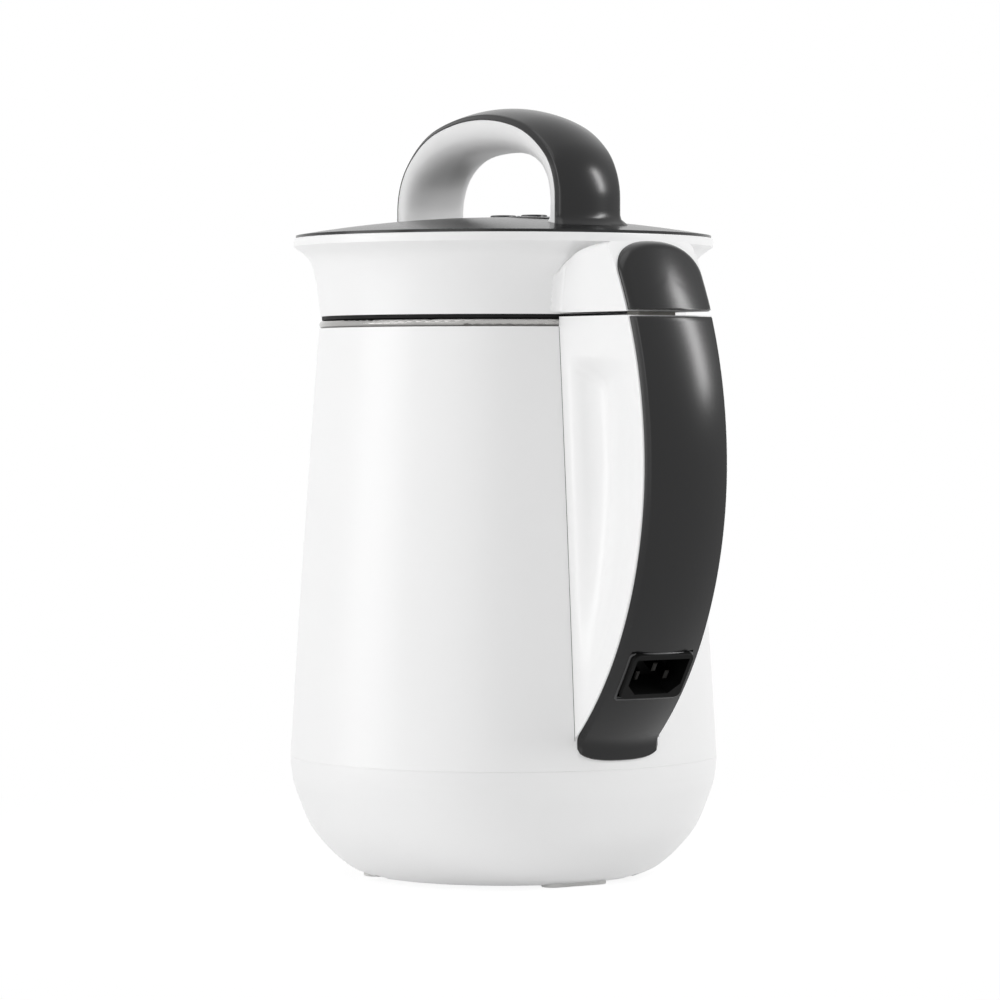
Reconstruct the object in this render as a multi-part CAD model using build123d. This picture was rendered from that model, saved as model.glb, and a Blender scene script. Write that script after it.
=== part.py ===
from build123d import *
import math
import os

# Soy milk maker: a double-walled jug with a heated steel pot, and a head with motor and blade that lifts off.
# The origin is on the jug's axis at the worktop, +Z is up and +X points at the handle.
# Lengths are in millimetres and angles in degrees. Names that end in share or shares are parts of a size.

# Clearances and the overrun of every cut
cut_over = 1.0
seat_gap = 0.3
slip_gap = 0.2
run_gap = 0.05

# Jug body, from the base seam to the top edge
foot_height = 2.5
seam_z = 50.5
seam_radius = 89.8
body_top_z = 229.3
body_top_radius = 77.6
body_bulge_depth = 0.4
body_wall = 2.5
body_lip = 3.2
flange_z = 57.0
flange_thick = 2.5
flange_radius = 44.0
post_ring_radius = 58.0
post_radius = 4.5
post_foot_z = 40.0
post_angles = (30.0, 150.0, 270.0)
stud_angles = (90.0, 210.0, 330.0)

# Base bowl and what closes it
bowl_wall = 2.5
bowl_seam_gap = 0.4
bowl_flat_radius = 58.0
bowl_shares = ((1.0, 0.99), (0.976, 0.74), (0.909, 0.43), (0.829, 0.205), (0.735, 0.065))
collar_wall = 1.6
collar_rise = 5.0
collar_root = 10.0
cover_radius = 44.0
cover_thick = 2.0
cover_ledge = 2.5
cover_rib_height = 5.0
cover_rib_thick = 1.6
cover_rib_count = 6
cover_rib_root = 1.0
vent_count = 3
vent_length = 22.0
vent_width = 2.4
vent_pitch = 5.0
pad_ring_radius = 54.5
pad_length = 30.0
pad_width = 9.0
pad_inset = 0.8
pad_angles = (0.0, 120.0, 240.0)

# Screws and nuts
base_screw_radius = 1.9
base_screw_head_radius = 3.8
base_screw_head = 2.4
base_screw_grip = 12.0
screw_slot_width = 1.0
handle_screw_radius = 1.8
handle_screw_head_radius = 3.4
handle_screw_head = 1.8
handle_screw_length = 10.0
handle_screw_spread = 12.0
handle_screw_heights = (74.0, 220.0)
stud_radius = 2.0
nut_radius = 4.0
nut_height = 3.2

# Steel pot
pot_wall = 0.8
pot_floor_z = 67.0
pot_inset = 6.1
pot_radius = body_top_radius - pot_inset
pot_foot_inset = 10.6
pot_foot_radius = body_top_radius - pot_foot_inset
pot_corner = 12.0
pot_neck_z = 224.0
bead_radius = 1.6
bead_ring_inset = 1.7
bead_ring_radius = body_top_radius - bead_ring_inset
pot_stud_ring_radius = 50.0
pot_stud_end_z = 51.0
gasket_width = 1.7
gasket_height = 1.9

# Heater and its safety parts
plate_radius = 45.0
plate_thick = 4.5
heater_ring_radius = 35.0
heater_tube_radius = 3.2
heater_gap_angle = 50.0
heater_pin_radius = 1.5
heater_pin_drop = 8.0
thermostat_radius = 8.5
thermostat_height = 8.0
thermostat_ear = 24.0
thermostat_ear_width = 9.0
thermostat_ear_thick = 1.0
thermostat_tab = 5.0
fuse_radius = 2.0
fuse_length = 12.0
fuse_offset = 20.0
fuse_clip_thick = 0.8

# Handle: its outer line is two arcs that meet upright at the furthest point
handle_reach = 45.6
bow_x = seam_radius + handle_reach
turn_margin = 1.05
bow_z = 174.0
upper_bow = 165.0
lower_bow = 149.0
web_half = 20.3
handle_top_z = 233.2
handle_foot_z = 58.0
handle_root_x = 60.0
bead_clear = 0.4
channel_depth = 7.5
channel_half = 14.5
channel_foot_z = 78.0
channel_top_z = 228.5

# Finger pockets in the handle's two sides, deepest next to the jug
pocket_flange = 6.9
pocket_rim = 9.7
pocket_top_z = 213.0
pocket_elbow_z = 118.0
pocket_toe_z = 84.0
pocket_toe = 5.5
pocket_corner = 9.0
pocket_toe_corner = 2.0
pocket_draft = 3.2
web_core_half = 4.3
scoop_round = 1.0
scoop_reach = 34.0
scoop_sag = 2.4

# Dark strip over the handle's outer line
strip_half = 19.5
strip_lip_rise = 2.6
strip_lip_in = 1.5
strip_crown = 5.0
strip_seat_half = 16.5
strip_hollow = 2.2
strip_top_gap = 0.5
toe_thick = 2.3
toe_foot_z = 54.5
toe_top_z = 76.0
toe_round = 6.5

# Mains inlet, square to the strip
inlet_z = 89.7
bezel_width = 29.0
bezel_height = 21.5
bezel_thick = 1.8
bezel_corner = 3.0
bezel_proud = 0.6
inlet_width = 27.0
inlet_height = 19.0
inlet_depth = 14.5
socket_width = 25.0
socket_height = 17.0
socket_depth = 12.5
socket_chamfer = 4.6
pin_width = 2.0
pin_height = 4.0
pin_spacing = 14.0
pin_drop = 2.0
earth_rise = 2.0
pin_reach = 9.5
pin_tail = 5.0

# Coupler between jug and head, and the leads
coupler_x = 111.0
coupler_length = 14.0
coupler_width = 23.0
coupler_height = 20.0
coupler_foot_thick = 2.6
coupler_foot_reach = 9.0
coupler_foot_drop = 3.0
plug_length = 8.6
plug_width = 17.4
plug_drop = 7.5
plug_back_thick = 3.5
plug_back_margin = 2.4
coupler_gap = 0.4
contact_radius = 1.1
contact_spacing = 4.4
contact_count = 4
contact_drop = 6.0
contact_tail = 5.0
head_lead_turn_x = 72.0
lead_radius = 2.4
heater_lead_low_z = 53.0
heater_lead_turn_x = 77.0
heater_lead_bend = 9.0
heater_lead_drop = 5.6
lead_hole_gap = 1.2

# Head ring with its fin
head_bottom_z = 234.3
head_rim_z = 267.0
rim_band = 3.5
rim_flare = 10.5
rim_radius = body_top_radius + rim_flare
head_wall = 2.4
head_shares = ((1.0, 0.0), (0.933, 0.155), (0.904, 0.36), (0.887, 0.66), (0.873, 1.0))
head_flange_z = 237.0
head_flange_thick = 2.6
head_flange_radius = 56.0
fin_bottom_z = 234.8
fin_top_z = 263.0
fin_shoulder_z = 248.0
fin_shoulder_x = 75.0
fin_tip_x = 128.0
fin_shares = ((0.0, 0.0), (0.083, 0.49), (0.24, 0.775), (0.51, 0.935), (1.0, 1.0))
fin_wall = 2.6
fin_round = 2.0
fin_root_x = 74.0

# Dark deck on the head
deck_edge = 1.2
deck_edge_in = 0.8
deck_crown = 7.6
deck_thick = 2.2
deck_spigot_drop = 3.0
deck_spigot_wall = 1.6

# Carry handle over the deck: dark cap outside, white lining inside
arch_half = 16.8
arch_foot_back = -59.3
arch_foot_front = 66.3
arch_rise = 40.6
arch_spring = 4.2
arch_shares = ((-0.775, 0.571), (-0.421, 0.901), (0.127, 1.0), (0.519, 0.906), (0.864, 0.618), (1.0, 0.148))
cap_lip_rise = 2.4
cap_lip_in = 1.2
cap_crown = 5.0
cap_hollow = 1.2
arch_gap_back = -52.0
arch_gap_front = 57.5
arch_gap_rise = 24.5
arch_gap_corner_back = 23.0
arch_gap_corner_front = 22.0
arch_gap_round = 6.5
arch_bow = 3.5

# Control panel between the legs of the carry handle
panel_length = 84.0
panel_width = 25.0
panel_corner = 11.0
panel_proud = 1.6
panel_thick = 3.2
panel_edge = 0.6
panel_ledge = 1.4
button_radius = 5.5
button_spacing = 24.0
button_gap = 0.25
button_proud = 0.6
button_travel = 0.8
button_collar = 0.9
button_stem = 1.2
button_stem_radius = 1.6
switch_size = 6.0
switch_height = 3.0
switch_nib_radius = 1.5
switch_nib = 0.7
board_thick = 1.6
panel_board_length = 70.0
panel_board_width = 35.0
panel_board_hole = 1.2
panel_post_radius = 2.2
panel_post_x = 31.0
panel_post_y = 14.8

# Power board over the motor
power_board_z = 260.0
power_board_radius = 59.0
board_post_radius = 3.0
board_post_ring_radius = 62.0
board_post_turn = 22.5
board_peg_radius = 1.5
board_peg_rise = 0.8
board_ear_radius = 4.5
relay_length = 15.0
relay_width = 18.0
relay_height = 9.0
relay_x = -24.0
relay_y = 29.0
transformer_length = 20.0
transformer_width = 16.0
transformer_height = 9.5
transformer_y = -30.0
capacitor_radius = 4.5
capacitor_height = 9.0
capacitor_x = 22.0

# Steel bell that carries the motor, the seal round it and the nuts that hold it
bell_wall = 0.8
bell_flange_z = 236.2
bell_flange_inset = 4.8
bell_flange_radius = body_top_radius - bell_flange_inset
bell_skirt_inset = 9.1
bell_skirt_radius = body_top_radius - bell_skirt_inset
bell_skirt_z = 229.0
bell_shoulder_radius = 50.0
bell_shoulder_z = 221.0
bell_cup_radius = 46.0
bell_cup_z = 195.0
bell_flat_radius = 15.0
bell_floor_z = 188.0
bell_lip_round = 1.6
bell_shoulder_round = 3.5
bell_cup_round = 6.0
bell_stud_ring_inset = 6.8
bell_stud_ring_radius = body_top_radius - bell_stud_ring_inset
bell_stud_radius = 1.5
bell_stud_rise = 7.5
bell_stud_turn = 30.0
bell_nut_radius = 3.2
bell_nut_height = 2.4
stud_count = 4
seal_outer_inset = 1.2
seal_outer_radius = body_top_radius - seal_outer_inset
seal_bead_inset = 3.4
seal_bead_radius = body_top_radius - seal_bead_inset
seal_lip_inset = 7.3
seal_lip_radius = body_top_radius - seal_lip_inset
seal_foot_z = 229.5
seal_plate_thick = 1.5

# Sleeve down to the blade
sleeve_radius = 8.8
sleeve_wall = 1.0
sleeve_foot_z = 107.0
sleeve_foot_thick = 1.0
sleeve_foot_bore = 5.5
sleeve_flange_radius = 13.5
sleeve_flange_thick = 1.0
seal_height = 5.0
bush_height = 12.0

# Motor
core_width = 62.0
core_corner = 9.0
core_bottom_z = 206.0
core_height = 24.0
bore_radius = 17.0
coil_inner_radius = 17.5
coil_outer_radius = 24.0
coil_turn = 62.0
coil_window_turn = 44.0
coil_end_rise = 5.6
coil_gap = 0.4
coil_slot_turn = 1.5
bracket_thick = 2.0
bracket_plate_radius = 20.0
bracket_arm_width = 12.0
bracket_cup_wall = 1.6
bracket_post_radius = 4.4
lower_plate_z = 198.0
upper_plate_z = 245.0
bolt_ring_radius = 35.4
bolt_radius = 1.9
bolt_head_radius = 3.4
bolt_head_height = 2.2
bearing_radius = 9.5
bearing_width = 6.0
bearing_race = 1.6
bearing_groove = 0.5
cup_floor = 0.8
cup_bore = 6.0
mount_ring_radius = 62.0
mount_radius = 5.0
mount_bore = 1.6
mount_waist = 3.8
brush_z = 240.4
brush_width = 5.0
brush_height = 5.6
brush_length = 14.0
brush_tube_wall = 0.8
brush_tube_start = 11.0
brush_tube_end = 25.0

# Rotor and blade
shaft_radius = 4.0
shaft_top_z = 258.2
shaft_step_z = 96.0
shaft_foot_z = 88.0
shaft_foot_radius = 3.0
armature_radius = 16.4
armature_slots = 12
armature_slot_width = 1.8
armature_slot_depth = 6.0
winding_radius = 14.4
winding_height = 4.6
winding_round = 1.8
commutator_radius = 9.0
commutator_height = 7.0
commutator_z = 236.9
commutator_slit = 0.8
commutator_slit_depth = 1.0
fan_z = 254.6
fan_height = 3.4
fan_radius = 24.0
fan_hub_radius = 7.0
fan_disc = 0.8
fan_blades = 9
fan_blade_thick = 1.2
fan_lean = 28.0
blade_hub_radius = 7.0
blade_thick = 1.4
blade_reach = 25.0
blade_bend_radius = 9.0
blade_root_half = 4.6
blade_tip_half = 2.4
blade_up = 8.0
blade_down = 7.0
blade_washer = 1.2
blade_nut_radius = 6.5
blade_nut_height = 7.4
blade_nut_flats = 4.0

# Probes that hang from the bell into the pot
probe_ring_radius = 60.0
probe_radius = 2.6
probe_boss_radius = 5.0
probe_boss_height = 4.0
probe_stem_radius = 2.0
probe_rise = 6.0
temperature_probe_z = 118.0
temperature_probe_angle = 150.0
overflow_probe_z = 200.0
overflow_probe_angle = 210.0


def body_radius(z):
    """Outer radius of the jug body at a height."""
    share = (z - seam_z) / (body_top_z - seam_z)
    straight = seam_radius + (body_top_radius - seam_radius) * share
    return straight + 4 * body_bulge_depth * share * (1 - share)


def bow_radius(z):
    """Radius of the handle's outer line at a height, one value above its furthest point and one below."""
    return upper_bow if z > bow_z else lower_bow


def bow_line(z, out=0.0):
    """Distance of the handle's outer line from the jug's axis at a height, moved out or in."""
    radius = bow_radius(z)
    return bow_x - radius + math.sqrt((radius + out) ** 2 - (z - bow_z) ** 2)


def crease_line(z):
    """Distance from the jug's axis at which the handle's sides meet the body."""
    return math.sqrt(body_radius(z) ** 2 - web_half**2)


def polar(radius, angle):
    """Point in the XY plane at a radius and angle."""
    return (radius * math.cos(math.radians(angle)), radius * math.sin(math.radians(angle)))


def inset(points, wall):
    """Outline moved inwards by a wall, square to the line through each point's neighbours."""
    moved = []
    last = len(points) - 1
    for index, (x, z) in enumerate(points):
        x0, z0 = points[max(index - 1, 0)]
        x1, z1 = points[min(index + 1, last)]
        run = math.hypot(x1 - x0, z1 - z0)
        moved.append((x - wall * (z1 - z0) / run, z + wall * (x1 - x0) / run))
    return moved


def spun(*edges):
    """Solid of revolution about Z from edges drawn as radius and height."""
    return revolve(Plane.XZ * make_face(edges), Axis.Z)


def spun_polygon(*points):
    """Solid of revolution about Z from straight-sided corners."""
    return spun(Polyline(*points, close=True))


def ring(outer, inner, low, high):
    """Plain tube about Z."""
    return spun_polygon((inner, low), (outer, low), (outer, high), (inner, high))


def disc(radius, low, high, x=0.0, y=0.0):
    """Upright cylinder between two heights."""
    return Pos(x, y, low) * Cylinder(radius, high - low, align=(Align.CENTER, Align.CENTER, Align.MIN))


def block(x0, x1, y0, y1, z0, z1):
    """Box between two corners."""
    return Pos((x0 + x1) / 2, (y0 + y1) / 2, (z0 + z1) / 2) * Box(x1 - x0, y1 - y0, z1 - z0)


def slab(*edges, half):
    """Solid from edges drawn as X and Z, as thick as twice a half width along Y."""
    return extrude(Plane.XZ * make_face(edges), half, both=True)


def around(shape, angles):
    """Copies of a shape turned about Z."""
    return [Rot(0, 0, angle) * shape for angle in angles]


def evenly(count, start=0.0):
    """Angles that share a full turn."""
    return [start + 360 * index / count for index in range(count)]


def hexagon_nut(radius, low, height, bore, x, y):
    """Hexagon nut with a plain bore, standing on a height."""
    nut = extrude(RegularPolygon(radius, 6) - Circle(bore), height)
    return Pos(x, y, low) * nut


def joined(shapes):
    """One shape from several that touch or overlap."""
    whole = shapes[0]
    for shape in shapes[1:]:
        whole = whole + shape
    return whole


def body_core(gap):
    """Everything inside the jug's outer face and a gap, with the clear space round the pot's bead above it."""
    middle = (seam_z + body_top_z) / 2
    bead_edge = bead_ring_radius + bead_radius + bead_clear
    low_radius = seam_radius + gap
    top_radius = body_top_radius + gap
    side = ThreePointArc((low_radius, seam_z), (body_radius(middle) + gap, middle), (top_radius, body_top_z))
    top_z = handle_top_z + cut_over
    low_z = seam_z - toe_thick
    rest = Polyline(
        (top_radius, body_top_z),
        (bead_edge, body_top_z),
        (bead_edge, top_z),
        (0, top_z),
        (0, low_z),
        (low_radius, low_z),
        (low_radius, seam_z),
    )
    return spun(side, rest)


def outer_shell():
    """White body wall with its rolled lip, inner flange, screw posts and holes."""
    middle = (seam_z + body_top_z) / 2
    inner_seam = seam_radius - body_wall
    inner_top = body_top_radius - body_wall
    inner_middle = body_radius(middle) - body_wall
    lip_radius = body_top_radius - body_lip - body_wall
    lip_z = body_top_z - body_wall
    shell = spun(
        ThreePointArc((seam_radius, seam_z), (body_radius(middle), middle), (body_top_radius, body_top_z)),
        Polyline((body_top_radius, body_top_z), (lip_radius, body_top_z), (lip_radius, lip_z), (inner_top, lip_z)),
        ThreePointArc((inner_top, lip_z), (inner_middle, middle), (inner_seam, seam_z)),
        Line((inner_seam, seam_z), (seam_radius, seam_z)),
    )
    flange_top = flange_z + flange_thick
    flange_outer = body_radius(flange_top) - body_wall / 2
    shell = shell + ring(flange_outer, flange_radius, flange_z, flange_top)
    post = disc(post_radius, post_foot_z, flange_top, post_ring_radius)
    pilot = disc(base_screw_radius, post_foot_z - cut_over, flange_top + cut_over, post_ring_radius)
    stud_hole = disc(stud_radius + slip_gap, flange_z - cut_over, flange_top + cut_over, pot_stud_ring_radius)
    for shape in around(post, post_angles):
        shell = shell + shape
    for shape in around(pilot, post_angles) + around(stud_hole, stud_angles):
        shell = shell - shape
    shell = shell - heater_lead_route(lead_radius + lead_hole_gap)
    for y in (-handle_screw_spread, handle_screw_spread):
        for z in handle_screw_heights:
            start = body_radius(z) - 4 * body_wall
            hole = Cylinder(handle_screw_radius + slip_gap, 8 * body_wall, rotation=(0, 90, 0))
            shell = shell - Pos(start + 4 * body_wall, y, z) * hole
    return shell


def bowl_outline():
    """Outer line of the base bowl from the flat underside up to the seam."""
    height = seam_z - bowl_seam_gap - foot_height
    points = [(bowl_flat_radius, foot_height)]
    for radius_share, height_share in reversed(bowl_shares):
        points.append((seam_radius * radius_share, foot_height + height * height_share))
    points[-1] = (seam_radius, seam_z - bowl_seam_gap)
    return points


def base_bowl():
    """White rounded bowl under the body, with its collar, screw bosses and cover ledge."""
    outer = bowl_outline()
    inner = inset(outer, bowl_wall)
    inner[0] = (bowl_flat_radius, foot_height + bowl_wall)
    inner[-1] = (seam_radius - bowl_wall, seam_z - bowl_seam_gap)
    opening = cover_radius + slip_gap
    ledge = opening - cover_ledge
    ledge_z = foot_height + cover_thick
    floor_z = foot_height + bowl_wall + cover_thick
    bowl = spun(
        Spline(*outer, tangents=((1, 0), (0, 1))),
        Line(outer[-1], inner[-1]),
        Spline(*reversed(inner), tangents=((0, -1), (-1, 0))),
        Polyline(
            inner[0],
            (opening + bowl_wall, inner[0][1]),
            (opening + bowl_wall, floor_z),
            (ledge, floor_z),
            (ledge, ledge_z),
            (opening, ledge_z),
            (opening, foot_height),
            outer[0],
        ),
    )
    collar_outer = body_radius(seam_z + collar_rise) - body_wall - slip_gap
    collar_inner = collar_outer - collar_wall
    collar_low = seam_z - collar_root
    bowl = bowl + ring(collar_outer, collar_inner, collar_low, seam_z + collar_rise)
    boss_top = post_foot_z - seat_gap
    boss = disc(post_radius + collar_wall, foot_height + bowl_wall / 2, boss_top, post_ring_radius)
    sink = disc(base_screw_head_radius + slip_gap, 0, boss_top - bowl_wall, post_ring_radius)
    hole = disc(base_screw_radius + slip_gap, 0, boss_top + cut_over, post_ring_radius)
    for shape in around(boss, post_angles):
        bowl = bowl + shape
    for shape in around(sink, post_angles) + around(hole, post_angles):
        bowl = bowl - shape
    for shape in around(foot_pad(0.0), pad_angles):
        bowl = bowl - shape
    return bowl


def foot_pad(low):
    """One rubber pad from a height up to its seat in the bowl."""
    outline = Pos(pad_ring_radius, 0) * Rot(0, 0, 90) * SlotOverall(pad_length, pad_width)
    return extrude(Pos(0, 0, low) * outline, foot_height + pad_inset - low)


def foot_pads():
    """Three rubber pads, one of them under the handle."""
    pad = foot_pad(0.0)
    return around(fillet(pad.edges().group_by(Axis.Z)[0], pad_inset / 2), pad_angles)


def bottom_cover():
    """Flat cover in the bowl's underside, ribbed inside and slotted for air."""
    top_z = foot_height + cover_thick
    cover = disc(cover_radius, foot_height, top_z)
    rib_end = cover_radius - 2 * cover_ledge
    rib = block(0, rib_end, -cover_rib_thick / 2, cover_rib_thick / 2, top_z - cover_rib_root, top_z + cover_rib_height)
    for shape in around(rib, evenly(cover_rib_count)):
        cover = cover + shape
    hub = disc(3 * cover_rib_thick, foot_height, top_z + cover_rib_height)
    cover = cover + hub
    slot = Rot(0, 0, 90) * SlotOverall(vent_length, vent_width)
    for index in range(vent_count):
        x = cover_radius / 2 + (index - (vent_count - 1) / 2) * vent_pitch
        vent = extrude(Pos(x, 0, 0) * slot, top_z + cut_over)
        for shape in around(vent, (30.0, 210.0)):
            cover = cover - shape
    return cover


def base_screws():
    """Three long screws that pull the bowl up against the body's posts."""
    head_top = post_foot_z - seat_gap - bowl_wall
    head = disc(base_screw_head_radius, head_top - base_screw_head, head_top)
    shank = disc(base_screw_radius, head_top - base_screw_head / 2, post_foot_z + base_screw_grip)
    slot = block(
        -base_screw_head_radius,
        base_screw_head_radius,
        -screw_slot_width / 2,
        screw_slot_width / 2,
        head_top - base_screw_head - cut_over,
        head_top - base_screw_head / 2,
    )
    screw = Pos(post_ring_radius, 0, 0) * (head + shank - slot)
    return around(screw, post_angles)


def inner_pot():
    """Stainless pot with rounded foot, flared neck, curled bead and three studs under its floor."""
    under_z = pot_floor_z - pot_wall
    bead_z = body_top_z + bead_radius
    outer_x = pot_radius
    foot_x = pot_foot_radius
    neck_top = bead_z + bead_radius / 2
    outline = FilletPolyline(
        (0, under_z),
        (foot_x, under_z),
        (outer_x, pot_neck_z),
        (outer_x, neck_top),
        (bead_ring_radius, neck_top),
        radius=(pot_corner, pot_corner, bead_radius),
    )
    inner = FilletPolyline(
        (0, pot_floor_z),
        (foot_x - pot_wall, pot_floor_z),
        (outer_x - pot_wall, pot_neck_z),
        (outer_x - pot_wall, neck_top + pot_wall),
        (bead_ring_radius, neck_top + pot_wall),
        radius=(pot_corner - pot_wall, pot_corner, bead_radius + pot_wall),
    )
    pot = spun(
        outline,
        inner,
        Line((0, under_z), (0, pot_floor_z)),
        Line((bead_ring_radius, neck_top), (bead_ring_radius, neck_top + pot_wall)),
    )
    bead = revolve(Plane.XZ * Pos(bead_ring_radius, bead_z) * Circle(bead_radius), Axis.Z)
    pot = pot + bead
    stud = disc(stud_radius, pot_stud_end_z, under_z + pot_wall / 2, pot_stud_ring_radius)
    for shape in around(stud, stud_angles):
        pot = pot + shape
    return pot


def pot_nuts():
    """Three nuts under the body's flange that draw the pot down."""
    x, y = polar(pot_stud_ring_radius, 0)
    nut = hexagon_nut(nut_radius, flange_z - nut_height, nut_height, stud_radius, x, y)
    return around(nut, stud_angles)


def pot_gasket():
    """Soft ring that the pot's flange presses on the body's lip, just inside the bead."""
    outer = bead_ring_radius - bead_radius - seat_gap
    return ring(outer, outer - gasket_width, body_top_z, body_top_z + gasket_height)


def heater_arc():
    """Angles at which the heater's ring starts and ends, either side of the handle's opposite."""
    return 180 + heater_gap_angle / 2, 540 - heater_gap_angle / 2


def heater_ring(radius):
    """Open ring of round bar under the plate."""
    start, end = heater_arc()
    centre_z = pot_floor_z - pot_wall - plate_thick
    section = Plane.XZ * Pos(heater_ring_radius, 0) * Circle(radius)
    return Pos(0, 0, centre_z) * Rot(0, 0, start) * revolve(section, Axis.Z, end - start)


def heater_plate():
    """Aluminium plate under the pot's floor, grooved for the heater tube."""
    top_z = pot_floor_z - pot_wall
    plate = disc(plate_radius, top_z - plate_thick, top_z)
    plate = chamfer(plate.edges().group_by(Axis.Z)[0], plate_thick / 4)
    groove = revolve(
        Plane.XZ * Pos(heater_ring_radius, top_z - plate_thick) * Circle(heater_tube_radius + run_gap), Axis.Z
    )
    return plate - groove


def heater_tube():
    """Sheathed heater bent to an open ring, with a cold pin down from each end."""
    tube = heater_ring(heater_tube_radius)
    centre_z = pot_floor_z - pot_wall - plate_thick
    pins = []
    for angle in heater_arc():
        x, y = polar(heater_ring_radius, angle)
        end = Pos(x, y, centre_z) * Sphere(heater_tube_radius)
        pin = disc(heater_pin_radius, centre_z - heater_pin_drop, centre_z, x, y)
        pins = pins + [end, pin]
    return joined([tube] + pins)


def thermostat():
    """Disc thermostat pressed against the plate by two ears, with its tabs below."""
    top_z = pot_floor_z - pot_wall - plate_thick
    low_z = top_z - thermostat_height
    body = disc(thermostat_radius, low_z, top_z)
    body = chamfer(body.edges().group_by(Axis.Z)[0], thermostat_ear_thick / 2)
    ear = block(
        -thermostat_ear,
        thermostat_ear,
        -thermostat_ear_width / 2,
        thermostat_ear_width / 2,
        top_z - thermostat_ear_thick,
        top_z,
    )
    tab = block(
        -thermostat_ear_thick / 2,
        thermostat_ear_thick / 2,
        -thermostat_tab / 2,
        thermostat_tab / 2,
        low_z - thermostat_tab,
        low_z + thermostat_ear_thick,
    )
    ear = Rot(0, 0, 90) * ear
    for y in (-thermostat_tab, thermostat_tab):
        body = body + Pos(0, y, 0) * Rot(0, 0, 90) * tab
    return body + ear


def thermal_fuse():
    """Sleeved fuse pressed into a folded clip that holds it against the plate."""
    top_z = pot_floor_z - pot_wall - plate_thick
    bite = fuse_clip_thick / 4
    centre_z = top_z - fuse_clip_thick - fuse_radius + bite
    fuse = Pos(fuse_offset, 0, centre_z) * Cylinder(fuse_radius, fuse_length, rotation=(90, 0, 0))
    clip_half = fuse_length / 4
    reach = 2 * fuse_radius
    held = fuse_radius - bite
    clip = block(
        fuse_offset - reach,
        fuse_offset + held + fuse_clip_thick,
        -clip_half,
        clip_half,
        centre_z - held - fuse_clip_thick,
        top_z,
    )
    gap = block(
        fuse_offset - reach - cut_over,
        fuse_offset + held,
        -fuse_length,
        fuse_length,
        centre_z - held,
        top_z - fuse_clip_thick,
    )
    return fuse + (clip - gap)


def bow_edges(out, low_z, high_z):
    """The handle's outer line moved out or in, as one arc below its furthest point and one above."""
    tip = (bow_x + out, bow_z)
    middle_low = (low_z + bow_z) / 2
    middle_high = (bow_z + high_z) / 2
    low = ThreePointArc((bow_line(low_z, out), low_z), (bow_line(middle_low, out), middle_low), tip)
    high = ThreePointArc(tip, (bow_line(middle_high, out), middle_high), (bow_line(high_z, out), high_z))
    return low, high


def along_bow(section, depth, low_z, high_z):
    """Section drawn in the plane of the handle's furthest point, carried along its line and cut level.

    The section reaches inwards from the line by a depth.
    """
    placed = Pos(0, 0, bow_z) * section
    high_turn = turn_margin * math.degrees(math.asin((high_z - bow_z) / (upper_bow - depth)))
    shape = revolve(placed, Axis((bow_x - upper_bow, 0, bow_z), (0, -1, 0)), high_turn)
    if low_z < bow_z:
        low_turn = turn_margin * math.degrees(math.asin((bow_z - low_z) / (lower_bow - depth)))
        shape = shape + revolve(placed, Axis((bow_x - lower_bow, 0, bow_z), (0, 1, 0)), low_turn)
    reach = bow_x + 2 * strip_crown
    return shape & block(0, reach, -reach, reach, low_z, high_z)


def handle_block(low_z, high_z, half):
    """Solid between the jug's axis and the handle's outer line."""
    low, high = bow_edges(0.0, low_z, high_z)
    back = Polyline((bow_line(high_z), high_z), (handle_root_x, high_z), (handle_root_x, low_z), (bow_line(low_z), low_z))
    return slab(low, high, back, half=half)


def pocket_face(draft):
    """Outline of a finger pocket, from the flange beside the jug to the rim beside the strip, drawn in by a draft."""
    rim = -pocket_rim - draft
    top_z = pocket_top_z - draft
    toe_z = pocket_toe_z + draft
    low, high = bow_edges(rim, pocket_elbow_z, top_z)
    top = (crease_line(top_z) + pocket_flange + draft, top_z)
    toe_x = crease_line(toe_z) + pocket_flange + draft
    toe_end = toe_x + pocket_toe - draft
    elbow = (bow_line(pocket_elbow_z, rim), pocket_elbow_z)
    rest = Polyline((bow_line(top_z, rim), top_z), top, (toe_x, toe_z), (toe_end, toe_z), elbow)
    face = make_face([low, high, rest])
    face = fillet([v for v in face.vertices() if v.Y > top_z - cut_over], pocket_corner - draft)
    face = fillet([v for v in face.vertices() if abs(v.Y - pocket_elbow_z) < cut_over], pocket_corner)
    return fillet([v for v in face.vertices() if v.Y < toe_z + cut_over and v.X < toe_x + cut_over], pocket_toe_corner)


def pocket():
    """Scoop that a hand's fingers curl into: deepest beside the jug, rising in a hollow curve to the strip's side."""
    outside = web_half + cut_over
    walls = loft(
        [Plane.XZ.offset(outside) * pocket_face(0.0), Plane.XZ.offset(web_core_half - cut_over) * pocket_face(pocket_draft)],
        ruled=True,
    )
    rim_x = bow_x - pocket_rim
    deep_x = rim_x - scoop_reach
    middle = ((rim_x + deep_x) / 2 + scoop_sag / 2, -(web_half + web_core_half) / 2 + scoop_sag)
    floor = make_face(
        [
            ThreePointArc((rim_x, -web_half), middle, (deep_x, -web_core_half)),
            Polyline(
                (deep_x, -web_core_half),
                (deep_x - scoop_reach, -web_core_half),
                (deep_x - scoop_reach, -outside - cut_over),
                (rim_x, -outside - cut_over),
                (rim_x, -web_half),
            ),
        ]
    )
    scoop = walls & along_bow(floor, pocket_rim + scoop_reach, pocket_toe_z - cut_over, pocket_top_z + cut_over)
    return fillet([e for e in scoop.edges() if e.position_at(0.5).Y > cut_over - web_half], scoop_round)


def inlet_plane():
    """Plane on the strip's crest at the mains inlet, facing out of the handle, with its X across and Y up the strip."""
    drop = inlet_z - bow_z
    radius = lower_bow + strip_crown
    along = math.sqrt(radius**2 - drop**2)
    origin = (bow_x - lower_bow + along, 0, inlet_z)
    return Plane(origin=origin, x_dir=(0, 1, 0), z_dir=(along, 0, drop))


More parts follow.
